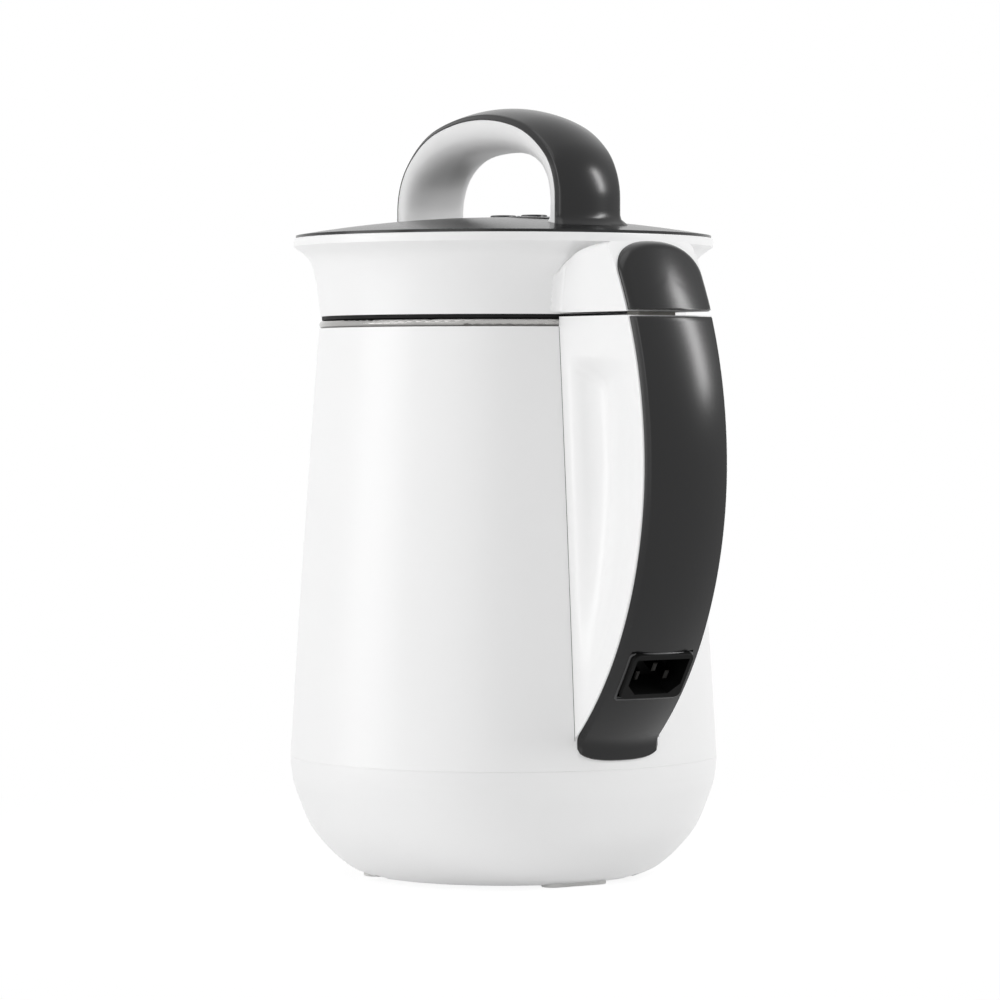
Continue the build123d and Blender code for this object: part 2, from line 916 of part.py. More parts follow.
def inlet_slab(width, height, back, front):
    """Box on the inlet's axis, from a depth behind the strip's crest to a height in front of it."""
    shape = Box(width, height, back + front, align=(Align.CENTER, Align.CENTER, Align.MIN))
    return inlet_plane() * Pos(0, 0, -back) * shape


def socket_outline(width, height, corner):
    """Rectangle whose two lower corners are cut off."""
    x = width / 2
    y = height / 2
    return make_face(
        Polyline((-x, y), (-x, corner - y), (corner - x, -y), (x - corner, -y), (x, corner - y), (x, y), close=True)
    )


def mains_inlet():
    """Black inlet: bezel, body and cut-cornered socket with a slot for each pin."""
    bezel = RectangleRounded(bezel_width, bezel_height, bezel_corner)
    shape = Pos(0, 0, -bezel_thick) * extrude(bezel, bezel_thick + bezel_proud)
    shape = chamfer(shape.edges().group_by(Axis.Z)[-1], bezel_proud / 2)
    body = Box(inlet_width, inlet_height, inlet_depth, align=(Align.CENTER, Align.CENTER, Align.MAX))
    shape = shape + Pos(0, 0, -bezel_thick / 2) * body
    socket = extrude(socket_outline(socket_width, socket_height, socket_chamfer), socket_depth + bezel_proud)
    shape = shape - Pos(0, 0, -socket_depth) * (socket + Pos(0, 0, bezel_proud) * socket)
    for x, y in pin_places():
        hole = Box(pin_width, pin_height, 4 * inlet_depth)
        shape = shape - Pos(x, y, 0) * hole
    return inlet_plane() * shape


def pin_places():
    """Centres of the two line pins and the earth pin on the inlet's face."""
    return (-pin_spacing / 2, -pin_drop), (pin_spacing / 2, -pin_drop), (0, earth_rise)


def inlet_pins():
    """Three flat pins with their tails behind the inlet."""
    length = pin_reach + inlet_depth - socket_depth + pin_tail
    pin = Box(pin_width, pin_height, length, align=(Align.CENTER, Align.CENTER, Align.MAX))
    pin = chamfer(pin.edges().group_by(Axis.Z)[-1], pin_width / 4)
    top = pin_reach - socket_depth
    return [inlet_plane() * Pos(x, y, top) * pin for x, y in pin_places()]


def lead_section(radius):
    """Circle at the middle of the handle's channel."""
    return Pos(bow_x - channel_depth / 2, 0) * Circle(radius)


def coupler_foot():
    """Height of the top of the handle lead, under the coupler's foot."""
    return handle_top_z - coupler_height + coupler_foot_drop


def handle_lead():
    """Lead inside the handle from the inlet up to the coupler, lying along the channel."""
    lead = along_bow(lead_section(lead_radius), channel_depth, inlet_z, coupler_foot())
    return lead - inlet_slab(inlet_width, inlet_height, inlet_depth + bezel_thick / 2, 0)


def heater_lead_route(radius):
    """Round bar along the heater lead's route: out of the inlet's back, through the body, down and across the base."""
    back = bezel_thick / 2 + inlet_depth
    start = inlet_plane().from_local_coords(Vector(0, -heater_lead_drop, -back)) + Vector(radius, 0, 0)
    high = Vector(heater_lead_turn_x, 0, start.Z)
    low = Vector(heater_lead_turn_x, 0, heater_lead_low_z)
    end = Vector(thermostat_radius + seat_gap, 0, heater_lead_low_z)
    path = FilletPolyline(start, high, low, end, radius=heater_lead_bend)
    section = Plane(origin=start, x_dir=(0, 1, 0), z_dir=(-1, 0, 0)) * Circle(radius)
    return sweep(section, path=path)


def heater_lead():
    """Lead from the inlet to the thermostat and heater."""
    return heater_lead_route(lead_radius) - inlet_slab(inlet_width, inlet_height, inlet_depth + bezel_thick / 2, 0)


def handle_shell():
    """White handle: sides with scooped pockets, wiring channel, and seats for inlet, coupler and strip."""
    shape = handle_block(handle_foot_z, handle_top_z, web_half)
    shape = shape - body_core(0.0)
    channel = Pos(bow_x - channel_depth / 2 + cut_over / 2, 0) * Rectangle(channel_depth + cut_over, 2 * channel_half)
    shape = shape - along_bow(channel, channel_depth, channel_foot_z, channel_top_z)
    scoop = pocket()
    shape = shape - scoop - mirror(scoop, Plane.XZ)
    shape = shape - inlet_slab(
        inlet_width + 2 * slip_gap, inlet_height + 2 * slip_gap, inlet_depth + bezel_thick, strip_crown
    )
    tail = inlet_slab(pin_spacing + 3 * pin_width, pin_height + 3 * pin_drop, inlet_depth + 2 * pin_tail, 0)
    shape = shape - (tail & handle_block(handle_foot_z, handle_top_z, web_half))
    shape = shape - coupler_pocket(slip_gap)
    shape = shape - heater_lead_route(lead_radius + lead_hole_gap)
    for screw in handle_screws():
        shape = shape - screw
    return shape


def coupler_pocket(gap):
    """Space of the coupler's block and its foot over the channel."""
    x0 = coupler_x - coupler_length / 2
    x1 = coupler_x + coupler_length / 2
    half = coupler_width / 2
    low_z = handle_top_z - coupler_height
    main = block(x0 - gap, x1 + gap, -half - gap, half + gap, low_z - gap, handle_top_z + gap)
    foot_z = coupler_foot()
    foot_x = x1 + coupler_foot_reach
    foot_half = 2 * lead_radius
    foot = block(x1 - cut_over, foot_x + gap, -foot_half - gap, foot_half + gap, foot_z - gap, foot_z + coupler_foot_thick + gap)
    return main + foot


def jug_coupler():
    """Touch-safe socket in the handle's top, with holes for the head's contacts."""
    shape = coupler_pocket(0.0)
    recess_low = fin_bottom_z - plug_drop - coupler_gap
    recess = block(
        coupler_x - plug_length / 2 - coupler_gap,
        coupler_x + plug_length / 2 + coupler_gap,
        -plug_width / 2 - coupler_gap,
        plug_width / 2 + coupler_gap,
        recess_low,
        handle_top_z + cut_over,
    )
    shape = shape - recess
    low_z = fin_bottom_z - plug_drop - contact_drop - coupler_gap
    for y in contact_places():
        shape = shape - disc(contact_radius + slip_gap, low_z, recess_low + cut_over, coupler_x, y)
    return shape


def contact_places():
    """Centres of the coupler's contacts across the handle."""
    middle = (contact_count - 1) / 2
    return [(index - middle) * contact_spacing for index in range(contact_count)]


def head_coupler():
    """Plug block under the fin that drops into the jug's socket."""
    low_z = fin_bottom_z - plug_drop
    plate_z = fin_bottom_z + fin_wall
    half = plug_width / 2
    x0 = coupler_x - plug_length / 2
    x1 = coupler_x + plug_length / 2
    plug = block(x0, x1, -half, half, low_z, plate_z + plug_back_thick)
    plug = fillet(plug.edges().group_by(Axis.Z)[0], plug_back_thick / 4)
    margin = plug_back_margin
    plate = block(x0 - margin, x1 + margin, -half - margin, half + margin, plate_z, plate_z + plug_back_thick)
    shape = plug + plate
    for y in contact_places():
        shape = shape - disc(contact_radius, low_z - cut_over, plate_z + 2 * plug_back_thick, coupler_x, y)
    return shape


def coupler_pins():
    """Contacts that stand out of the plug and reach into the socket."""
    low_z = fin_bottom_z - plug_drop - contact_drop
    top_z = fin_bottom_z + fin_wall + plug_back_thick + contact_tail
    pins = []
    for y in contact_places():
        pin = disc(contact_radius, low_z, top_z, coupler_x, y)
        pins.append(fillet(pin.edges().group_by(Axis.Z)[0], contact_radius / 2))
    return pins


def handle_screws():
    """Four screws from inside the body into the handle."""
    screws = []
    head = Cylinder(handle_screw_head_radius, handle_screw_head, align=(Align.CENTER, Align.CENTER, Align.MAX))
    shank = Cylinder(
        handle_screw_radius, handle_screw_length, align=(Align.CENTER, Align.CENTER, Align.MIN)
    )
    slot = Box(2 * handle_screw_head_radius, screw_slot_width, handle_screw_head)
    screw = Rot(0, 90, 0) * (head + shank - Pos(0, 0, -handle_screw_head) * slot)
    for z in handle_screw_heights:
        reach = handle_screw_spread + handle_screw_head_radius
        x = math.sqrt((body_radius(z + handle_screw_head_radius) - body_wall) ** 2 - reach**2) - run_gap
        for y in (-handle_screw_spread, handle_screw_spread):
            screws.append(Pos(x, y, z) * screw)
    return screws


def strip_section(lip_rise, lip_in, crown, half, seat_half, hollow):
    """Crowned cover in section: bevelled lips, arched outside, hollow inside, drawn outwards from its seat."""
    return make_face(
        [
            Line((0, -half), (lip_rise, -half + lip_in)),
            ThreePointArc((lip_rise, -half + lip_in), (crown, 0), (lip_rise, half - lip_in)),
            Line((lip_rise, half - lip_in), (0, half)),
            Line((0, half), (0, seat_half)),
            ThreePointArc((0, seat_half), (hollow, 0), (0, -seat_half)),
            Line((0, -seat_half), (0, -half)),
        ]
    )


def bow_strip(low_z, high_z):
    """Length of the dark strip between two heights."""
    section = strip_section(strip_lip_rise, strip_lip_in, strip_crown, strip_half, strip_seat_half, strip_hollow)
    return along_bow(Pos(bow_x, 0) * section, 0.0, low_z, high_z)


def strip_toe():
    """Foot of the strip, lying on the body with a rounded lower end."""
    inner = [(body_radius(z), z) for z in (toe_foot_z, toe_top_z)]
    cover = spun_polygon(
        inner[0],
        (inner[0][0] + toe_thick, inner[0][1]),
        (inner[1][0] + toe_thick, inner[1][1]),
        inner[1],
    )
    round_z = toe_foot_z + toe_round
    upper = Pos(0, (round_z + toe_top_z) / 2) * Rectangle(2 * strip_half, toe_top_z - round_z)
    outline = upper + Pos(0, round_z) * Ellipse(strip_half, toe_round)
    keep = extrude(Plane.YZ * outline, 2 * seam_radius)
    return cover & keep


def handle_strip():
    """Dark cover along the jug handle, ending on the body, cut for the inlet."""
    strip = bow_strip(handle_foot_z, handle_top_z - strip_top_gap)
    toe = strip_toe() - handle_block(toe_foot_z - cut_over, handle_top_z, web_half)
    strip = (strip + toe) - body_core(run_gap)
    bezel = RectangleRounded(bezel_width + 2 * slip_gap, bezel_height + 2 * slip_gap, bezel_corner)
    opening = extrude(bezel, 2 * strip_crown + bezel_thick)
    return strip - inlet_plane() * Pos(0, 0, -bezel_thick - strip_crown) * opening


def head_outline():
    """Outer line of the head's ring, from its lower edge up to the rim's band."""
    height = head_rim_z - rim_band - head_bottom_z
    points = [(rim_radius * radius, head_rim_z - rim_band - height * drop) for radius, drop in head_shares]
    return list(reversed(points))


def fin_block(low_z, drop, out, half):
    """Solid of the fin behind the handle, from a level underside to a top that falls to the ring."""
    rise = fin_top_z - fin_shoulder_z
    run = fin_tip_x - fin_shoulder_x
    crest = [(fin_shoulder_x + run * x, fin_shoulder_z + rise * z - drop) for x, z in fin_shares]
    top_z = crest[-1][1]
    middle = (low_z + top_z) / 2
    low_end = (bow_line(low_z, -out), low_z)
    top_end = (bow_line(top_z, -out), top_z)
    crest[-1] = top_end
    return slab(
        ThreePointArc(low_end, (bow_line(middle, -out), middle), top_end),
        Spline(*reversed(crest)),
        Polyline(crest[0], (fin_root_x, crest[0][1]), (fin_root_x, low_z), low_end),
        half=half,
    )


def is_fin_brow(edge):
    """Whether an edge runs along a side of the fin's falling top."""
    middle = edge.position_at(0.5)
    beside = abs(abs(middle.Y) - web_half) < cut_over
    return beside and middle.Z > fin_shoulder_z + cut_over and middle.X < bow_line(middle.Z) - cut_over


def head_shell():
    """White flared ring with its rim band, inner flange, board posts and the hollow fin over the handle."""
    outer = head_outline()
    inner = inset(outer, head_wall)
    inner[0] = (outer[0][0] - head_wall, head_bottom_z)
    inner[-1] = (rim_radius - head_wall, head_rim_z - rim_band)
    top = (rim_radius, head_rim_z)
    top_inner = (rim_radius - head_wall, head_rim_z)
    wall = spun(
        Spline(*outer),
        Polyline(outer[-1], top, top_inner, inner[-1]),
        Spline(*reversed(inner)),
        Line(inner[0], outer[0]),
    )
    inside = spun(
        Spline(*reversed(inner)),
        Polyline(inner[0], (0, head_bottom_z), (0, head_rim_z), top_inner, inner[-1]),
    )
    flange_top = head_flange_z + head_flange_thick
    flange = ring(rim_radius, head_flange_radius, head_flange_z, flange_top) & inside
    fin = fin_block(fin_bottom_z, 0.0, 0.0, web_half)
    fin = fillet([e for e in fin.edges() if is_fin_brow(e)], fin_round) - inside
    hollow = fin_block(fin_bottom_z + fin_wall, fin_wall, fin_wall, web_half - fin_wall)
    mouth = block(
        fin_root_x - 2 * head_wall,
        fin_shoulder_x + head_wall,
        -web_half / 2,
        web_half / 2,
        flange_top,
        coupler_tail_z() - contact_tail / 2 + 2 * lead_radius,
    )
    shape = wall + fin + flange - hollow - mouth
    half = plug_width / 2 + slip_gap
    reach = plug_length / 2 + slip_gap
    low_z = fin_bottom_z - cut_over
    shape = shape - block(coupler_x - reach, coupler_x + reach, -half, half, low_z, fin_bottom_z + 2 * fin_wall)
    stud = disc(bell_stud_radius + slip_gap, head_flange_z - cut_over, flange_top + cut_over, bell_stud_ring_radius)
    for hole in around(stud, evenly(stud_count, bell_stud_turn)):
        shape = shape - hole
    peg_top = power_board_z + board_thick + board_peg_rise
    post = disc(board_post_radius, flange_top - board_peg_rise, power_board_z, board_post_ring_radius)
    peg = disc(board_peg_radius, power_board_z - board_peg_rise, peg_top, board_post_ring_radius)
    for part in around(post + peg, evenly(stud_count, board_post_turn)):
        shape = shape + part
    return shape


def head_strip():
    """Dark cover on the fin, with a rounded top end."""
    low_z = fin_bottom_z + strip_top_gap
    strip = bow_strip(low_z, fin_top_z)
    rise = fin_top_z - low_z
    lower = Pos(0, low_z + rise / 4) * Rectangle(2 * strip_half, rise / 2)
    dome = Pos(0, low_z + rise / 2) * Ellipse(strip_half, rise / 2)
    return strip & extrude(Plane.YZ * (lower + dome), 2 * bow_x)


def deck_radius():
    """Radius of the deck's dome at its edge."""
    return rim_radius - deck_edge_in


def deck_height(radius, drop=0.0):
    """Height of the deck's dome at a distance from the axis, or of a surface below it."""
    sphere = (deck_radius() ** 2 + deck_crown**2) / (2 * deck_crown)
    centre = head_rim_z + deck_edge + deck_crown - sphere
    return centre + math.sqrt((sphere - drop) ** 2 - radius**2)


def deck_dome(drop, low_z):
    """Everything under the deck's dome, or under a surface below it, down to a height."""
    edge = deck_radius()
    middle = edge / 2
    return spun(
        ThreePointArc((edge, deck_height(edge, drop)), (middle, deck_height(middle, drop)), (0, deck_height(0, drop))),
        Polyline((0, deck_height(0, drop)), (0, low_z), (edge, low_z), (edge, deck_height(edge, drop))),
    )


def deck_cover():
    """Dark shallow dome over the head, with a spigot, posts for the panel's board and the panel's opening."""
    edge = deck_radius()
    hollow = deck_dome(deck_thick, 0) & disc(edge - deck_thick, 0, head_rim_z + deck_crown)
    outer = rim_radius - head_wall - slip_gap
    spigot = ring(outer, outer - deck_spigot_wall, head_rim_z - deck_spigot_drop, head_rim_z + deck_edge / 2)
    cover = deck_dome(0.0, head_rim_z) - hollow + spigot
    board_top = panel_board_top()
    for x, y in post_places():
        post_top = deck_height(math.hypot(x, y), deck_thick / 2)
        cover = cover + disc(panel_post_radius, board_top, post_top, x, y)
        cover = cover + disc(panel_board_hole - slip_gap, board_top - board_thick - slip_gap, post_top, x, y)
    opening = RectangleRounded(panel_length - 2 * panel_ledge, panel_width - 2 * panel_ledge, panel_corner - panel_ledge)
    cover = cover - extrude(Pos(0, 0, head_rim_z) * opening, 2 * deck_crown)
    return cover - Pos(0, 0, panel_seat_z()) * extrude(panel_outline(slip_gap), 2 * deck_crown)


def post_places():
    """Centres of the posts that carry the panel's board."""
    return [(x, y) for x in (-panel_post_x, panel_post_x) for y in (-panel_post_y, panel_post_y)]


def panel_seat_z():
    """Height at which the panel sits in the deck."""
    return deck_height(0) + panel_proud - panel_thick


def panel_outline(grow):
    """Rounded outline of the control panel."""
    return RectangleRounded(panel_length + 2 * grow, panel_width + 2 * grow, panel_corner)


def button_places():
    """Distances of the three buttons from the axis, along the handle's plane."""
    return [index * button_spacing for index in (-1, 0, 1)]


def control_panel():
    """Glossy raised panel between the carry handle's legs, with a hole for each button."""
    low_z = panel_seat_z()
    panel = Pos(0, 0, low_z) * extrude(panel_outline(0.0), panel_thick)
    panel = fillet(panel.edges().group_by(Axis.Z)[-1], panel_edge)
    for x in button_places():
        panel = panel - disc(button_radius + button_gap, low_z - cut_over, low_z + 2 * panel_thick, x)
    return panel


def button(x):
    """One button: dished cap, collar that keeps it under the panel and a stem over its switch."""
    low_z = panel_seat_z() - button_gap - button_collar
    top_z = panel_seat_z() + panel_thick + button_proud
    cap = disc(button_radius, low_z, top_z, x)
    cap = fillet(cap.edges().group_by(Axis.Z)[-1], panel_edge / 2)
    dish = 6 * button_radius
    cap = cap - Pos(x, 0, top_z + dish - button_gap) * Sphere(dish)
    collar = disc(button_radius + button_collar, low_z, low_z + button_collar, x)
    stem = disc(button_stem_radius, switch_top() + button_gap, low_z + button_collar / 2, x)
    return cap + collar + stem


def switch_top():
    """Height of the switches' nibs when their buttons are pressed."""
    return panel_seat_z() - button_gap - button_collar - button_travel - button_stem


def panel_board_top():
    """Upper face of the panel's board."""
    return switch_top() - switch_nib - switch_height - button_travel


def panel_board():
    """Small board under the panel with a switch for each button."""
    board_top = panel_board_top()
    body_top = board_top + switch_height
    outline = RectangleRounded(panel_board_length, panel_board_width, panel_post_radius)
    board = Pos(0, 0, board_top - board_thick) * extrude(outline, board_thick)
    half = switch_size / 2
    for x in button_places():
        board = board + block(x - half, x + half, -half, half, board_top, body_top)
        board = board + disc(switch_nib_radius, body_top, body_top + switch_nib, x)
    for x, y in post_places():
        board = board - disc(panel_board_hole, board_top - 2 * board_thick, board_top + board_thick, x, y)
    return board


def arch_path():
    """Line of the carry handle where cap and lining meet, as arcs that run on from one another."""
    foot_z = head_rim_z
    base_z = deck_height(0)
    edges = [Line((arch_foot_back, foot_z), (arch_foot_back, base_z + arch_spring))]
    for x_share, z_share in arch_shares:
        end = (arch_foot_front * x_share, base_z + arch_rise * z_share)
        edges.append(TangentArc(edges[-1] @ 1, end, tangent=edges[-1] % 1))
    last = edges[-1] @ 1
    edges.append(Line(last, (last.X, foot_z)))
    return edges


def arch_body():
    """Solid under the carry handle's line, as wide as its cap."""
    edges = arch_path()
    return slab(*edges, Line(edges[-1] @ 1, edges[0] @ 0), half=arch_half)


def arch_gap():
    """Hand opening under the carry handle, with unequal corners."""
    base_z = head_rim_z
    top_z = deck_height(0) + arch_gap_rise
    middle = (arch_gap_back + arch_gap_front) / 2
    face = make_face(
        [
            Line((arch_gap_back, base_z), (arch_gap_back, top_z)),
            ThreePointArc((arch_gap_back, top_z), (middle, top_z + arch_bow), (arch_gap_front, top_z)),
            Polyline((arch_gap_front, top_z), (arch_gap_front, base_z), (arch_gap_back, base_z)),
        ]
    )
    back = [v for v in face.vertices() if v.Y > top_z - cut_over and v.X < 0]
    face = fillet(back, arch_gap_corner_back)
    front = [v for v in face.vertices() if v.Y > top_z - cut_over and v.X > arch_gap_front - cut_over]
    face = fillet(front, arch_gap_corner_front)
    return extrude(Plane.XZ * face, arch_half + cut_over, both=True)


def arch_lining():
    """White inner half of the carry handle, rounded towards the hand."""
    shape = arch_body() - arch_gap()
    inner = [edge for edge in shape.edges() if is_gap_edge(edge)]
    return fillet(inner, arch_gap_round) - deck_dome(0.0, 0)


def is_gap_edge(edge):
    """Whether an edge of the carry handle runs round its hand opening."""
    middle = edge.position_at(0.5)
    at_side = abs(abs(middle.Y) - arch_half) < seat_gap
    between = arch_gap_back - seat_gap < middle.X < arch_gap_front + seat_gap
    under = head_rim_z + seat_gap < middle.Z < deck_height(0) + arch_gap_rise + arch_bow + seat_gap
    return at_side and between and under and edge.bounding_box().size.Y < seat_gap


def arch_cap():
    """Dark crowned cover over the carry handle, running down onto the deck at both ends."""
    seat_half = arch_half - cap_lip_rise
    section = strip_section(cap_lip_rise, cap_lip_in, cap_crown, arch_half, seat_half, cap_hollow)
    edges = [Plane.XZ * edge for edge in arch_path()]
    start = edges[0] @ 0
    plane = Plane(origin=start, x_dir=(-1, 0, 0), z_dir=(0, 0, 1))
    return sweep(plane * section, path=Wire(edges)) - deck_dome(0.0, 0)


def power_board():
    """Board over the motor, with an ear on each of the head's posts."""
    board = disc(power_board_radius, power_board_z, power_board_z + board_thick)
    ear = disc(board_ear_radius, power_board_z, power_board_z + board_thick, board_post_ring_radius)
    hole = disc(board_peg_radius + slip_gap, power_board_z - cut_over, power_board_z + 2 * board_thick, board_post_ring_radius)
    for part in around(ear, evenly(stud_count, board_post_turn)):
        board = board + part
    for part in around(hole, evenly(stud_count, board_post_turn)):
        board = board - part
    return board


def board_parts():
    """Relay, transformer and capacitor that stand on the power board."""
    top_z = power_board_z + board_thick
    align = (Align.CENTER, Align.CENTER, Align.MIN)
    relay = Pos(relay_x, relay_y, top_z) * Box(relay_length, relay_width, relay_height, align=align)
    transformer = Box(transformer_length, transformer_width, transformer_height, align=align)
    transformer = Pos(0, transformer_y, top_z) * transformer
    capacitor = disc(capacitor_radius, top_z, top_z + capacitor_height, capacitor_x, relay_y)
    return [
        fillet(relay.edges().group_by(Axis.Z)[-1], board_thick / 2),
        chamfer(transformer.edges().group_by(Axis.Z)[-1], board_thick / 2),
        fillet(capacitor.edges().group_by(Axis.Z)[-1], board_thick / 2),
    ]


def head_lead():
    """Lead from the fin's contacts to the power board, bent up under the board's edge."""
    start_z = coupler_tail_z() - contact_tail / 2
    start = Vector(coupler_x - contact_radius - seat_gap, 0, start_z)
    low = Line(start, (head_lead_turn_x, 0, start_z))
    rise = power_board_z - start_z
    bend = TangentArc(low @ 1, (head_lead_turn_x - rise, 0, power_board_z), tangent=low % 1)
    section = Plane(origin=start, z_dir=(-1, 0, 0)) * Circle(lead_radius)
    keep = disc(2 * rim_radius, head_bottom_z, power_board_z)
    return sweep(section, path=Wire([low, bend])) & keep


def coupler_tail_z():
    """Height of the upper ends of the coupler's contacts."""
    return fin_bottom_z + fin_wall + plug_back_thick + contact_tail


def bell_line(rise):
    """Corners of the bell's outer face from the flange to the sleeve, or of its inner face a wall higher."""
    wall = rise
    return (
        (bell_flange_radius, bell_flange_z + wall),
        (bell_skirt_radius - wall, bell_flange_z + wall),
        (bell_skirt_radius - wall, bell_skirt_z + wall / 2),
        (bell_shoulder_radius - wall, bell_shoulder_z + wall),
        (bell_cup_radius - wall, bell_cup_z + wall),
        (bell_flat_radius, bell_floor_z + wall),
        (sleeve_radius + slip_gap, bell_floor_z + wall),
    )


def bell_inside():
    """Everything over the bell's outer face, up to its flange."""
    outer = bell_line(0.0)
    rest = Polyline(outer[-1], (0, outer[-1][1]), (0, outer[0][1]), outer[0])
    return spun(FilletPolyline(*outer, radius=bell_rounds()), rest)


def bell_rounds():
    """Bend radii at the bell's corners, from the flange inwards."""
    return (bell_lip_round, bell_shoulder_round, bell_shoulder_round, bell_cup_round, bell_cup_round)


def lower_cover():
    """Pressed steel bell under the head, deep enough for the motor, with welded studs on its flange."""
    rounds = bell_rounds()
    outer = bell_line(0.0)
    inner = bell_line(bell_wall)
    bell = spun(
        FilletPolyline(*outer, radius=rounds),
        Line(outer[-1], inner[-1]),
        FilletPolyline(*reversed(inner), radius=tuple(reversed(rounds))),
        Line(inner[0], outer[0]),
    )
    stud_top = bell_flange_z + bell_stud_rise
    stud = disc(bell_stud_radius, bell_flange_z + bell_wall / 2, stud_top, bell_stud_ring_radius)
    for part in around(stud, evenly(stud_count, bell_stud_turn)):
        bell = bell + part
    hole_low = bell_skirt_z - 2 * bell_shoulder_round - probe_boss_height
    for angle in (temperature_probe_angle, overflow_probe_angle):
        x, y = polar(probe_ring_radius, angle)
        bell = bell - disc(probe_stem_radius + run_gap, hole_low, bell_flange_z + bell_wall, x, y)
    return bell


def cover_nuts():
    """Nuts inside the head that hold the bell's flange."""
    low_z = head_flange_z + head_flange_thick
    nut = hexagon_nut(bell_nut_radius, low_z, bell_nut_height, bell_stud_radius, bell_stud_ring_radius, 0)
    return around(nut, evenly(stud_count, bell_stud_turn))


def seal_ring():
    """Black seal under the head: a plate over the pot's bead, a bead in the head and a lip round the bell."""
    inner = bell_skirt_radius + slip_gap
    plate_low = head_bottom_z - seal_plate_thick
    return spun_polygon(
        (inner, seal_foot_z),
        (seal_lip_radius, seal_foot_z),
        (seal_lip_radius, plate_low),
        (seal_outer_radius, plate_low),
        (seal_outer_radius, head_bottom_z),
        (seal_bead_radius, head_bottom_z),
        (seal_bead_radius, bell_flange_z),
        (seal_lip_radius, bell_flange_z),
        (inner, head_bottom_z),
    )


def shaft_sleeve():
    """Thin tube from the bell down to the blade, flanged at the top and turned in at its foot."""
    flange_z = bell_floor_z + bell_wall
    bore = sleeve_radius - sleeve_wall
    floor_z = sleeve_foot_z + sleeve_foot_thick
    return spun_polygon(
        (sleeve_foot_bore, sleeve_foot_z),
        (sleeve_radius, sleeve_foot_z),
        (sleeve_radius, flange_z),
        (sleeve_flange_radius, flange_z),
        (sleeve_flange_radius, flange_z + sleeve_flange_thick),
        (bore, flange_z + sleeve_flange_thick),
        (bore, floor_z),
        (sleeve_foot_bore, floor_z),
    )


def shaft_seal():
    """Lipped seal at the sleeve's foot."""
    low_z = sleeve_foot_z + sleeve_foot_thick
    outer = sleeve_radius - sleeve_wall
    middle = (shaft_radius + outer) / 2
    bore = shaft_radius + run_gap
    lip = seal_height / 4
    return spun_polygon(
        (bore, low_z + lip),
        (bore + lip, low_z),
        (outer, low_z),
        (outer, low_z + seal_height),
        (middle + lip, low_z + seal_height),
        (middle, low_z + 2 * lip),
        (bore, low_z + 2 * lip),
    )


def sleeve_bush():
    """Plain bush over the seal."""
    low_z = sleeve_foot_z + sleeve_foot_thick + seal_height
    return ring(sleeve_radius - sleeve_wall, shaft_radius + run_gap, low_z, low_z + bush_height)


def probe(foot_z, angle):
    """Steel rod with a hemispherical foot, a boss under the bell and a stem through it."""
    boss_low = bell_shoulder_z - probe_boss_height / 2
    x, y = polar(probe_ring_radius, angle)
    boss = disc(probe_boss_radius, boss_low, bell_flange_z)
    boss = fillet(boss.edges().group_by(Axis.Z)[0], probe_boss_height / 4)
    boss = Pos(x, y, 0) * boss - bell_inside()
    rod = disc(probe_radius, foot_z + probe_radius, boss_low + probe_radius) + Pos(0, 0, foot_z + probe_radius) * Sphere(
        probe_radius
    )
    stem = disc(probe_stem_radius, boss_low + probe_radius, bell_skirt_z + probe_rise)
    return boss + Pos(x, y, 0) * (rod + stem)


def temperature_probe():
    """Long probe that reaches into the drink."""
    return probe(temperature_probe_z, temperature_probe_angle)


def overflow_probe():
    """Short probe that foam reaches first."""
    return probe(overflow_probe_z, overflow_probe_angle)


def sector(inner, outer, turn, low, high):
    """Part of a ring, as far as an angle either side of the X axis."""
    part = Plane.XZ * make_face(Polyline((inner, low), (outer, low), (outer, high), (inner, high), close=True))
    return Rot(0, 0, -turn) * revolve(part, Axis.Z, 2 * turn)


def bolt_places():
    """Centres of the four bolts through the motor."""
    return [polar(bolt_ring_radius, angle) for angle in evenly(stud_count, 45.0)]


def stator_core():
    """Laminated field of the motor: bore, two winding slots to each pole and bolt holes."""
    top_z = core_bottom_z + core_height
    core = extrude(Pos(0, 0, core_bottom_z) * RectangleRounded(core_width, core_width, core_corner), core_height)
    core = core - disc(bore_radius, core_bottom_z - cut_over, top_z + cut_over)
    outer = coil_outer_radius + coil_gap
    low = core_bottom_z - cut_over
    slots = sector(0, outer, coil_turn + coil_slot_turn, low, top_z + cut_over)
    slots = slots - sector(0, outer + cut_over, coil_window_turn - coil_slot_turn, low - cut_over, top_z + 2 * cut_over)
    for slot in around(slots, (0.0, 180.0)):
        core = core - slot
    for x, y in bolt_places():
        core = core - disc(bolt_radius + slip_gap, low, top_z + cut_over, x, y)
    return core


def field_coils():
    """Two saddle windings, each round one pole."""
    low = core_bottom_z - coil_gap
    high = core_bottom_z + core_height + coil_gap
    coil = sector(coil_inner_radius, coil_outer_radius, coil_turn, low - coil_end_rise, high + coil_end_rise)
    window = sector(0, 2 * coil_outer_radius, coil_window_turn, low, high)
    coil = coil - window
    edges = coil.edges().group_by(Axis.Z)
    coil = fillet(edges[0] + edges[-1], (coil_outer_radius - coil_inner_radius) / 4)
    return around(coil, (0.0, 180.0))


def bracket(plate_z, cup_low, cup_high, post_low, post_high):
    """Motor bracket: cross-armed plate, bearing cup and a post to the field at each bolt."""
    top_z = plate_z + bracket_thick
    shape = disc(bracket_plate_radius, plate_z, top_z)
    arm = block(0, bolt_ring_radius, -bracket_arm_width / 2, bracket_arm_width / 2, plate_z, top_z)
    end = disc(bracket_arm_width / 2, plate_z, top_z, bolt_ring_radius)
    for part in around(arm + end, evenly(stud_count, 45.0)):
        shape = shape + part
    shape = shape + disc(bearing_radius + bracket_cup_wall, cup_low, cup_high)
    for x, y in bolt_places():
        shape = shape + disc(bracket_post_radius, post_low, post_high, x, y)
    return shape


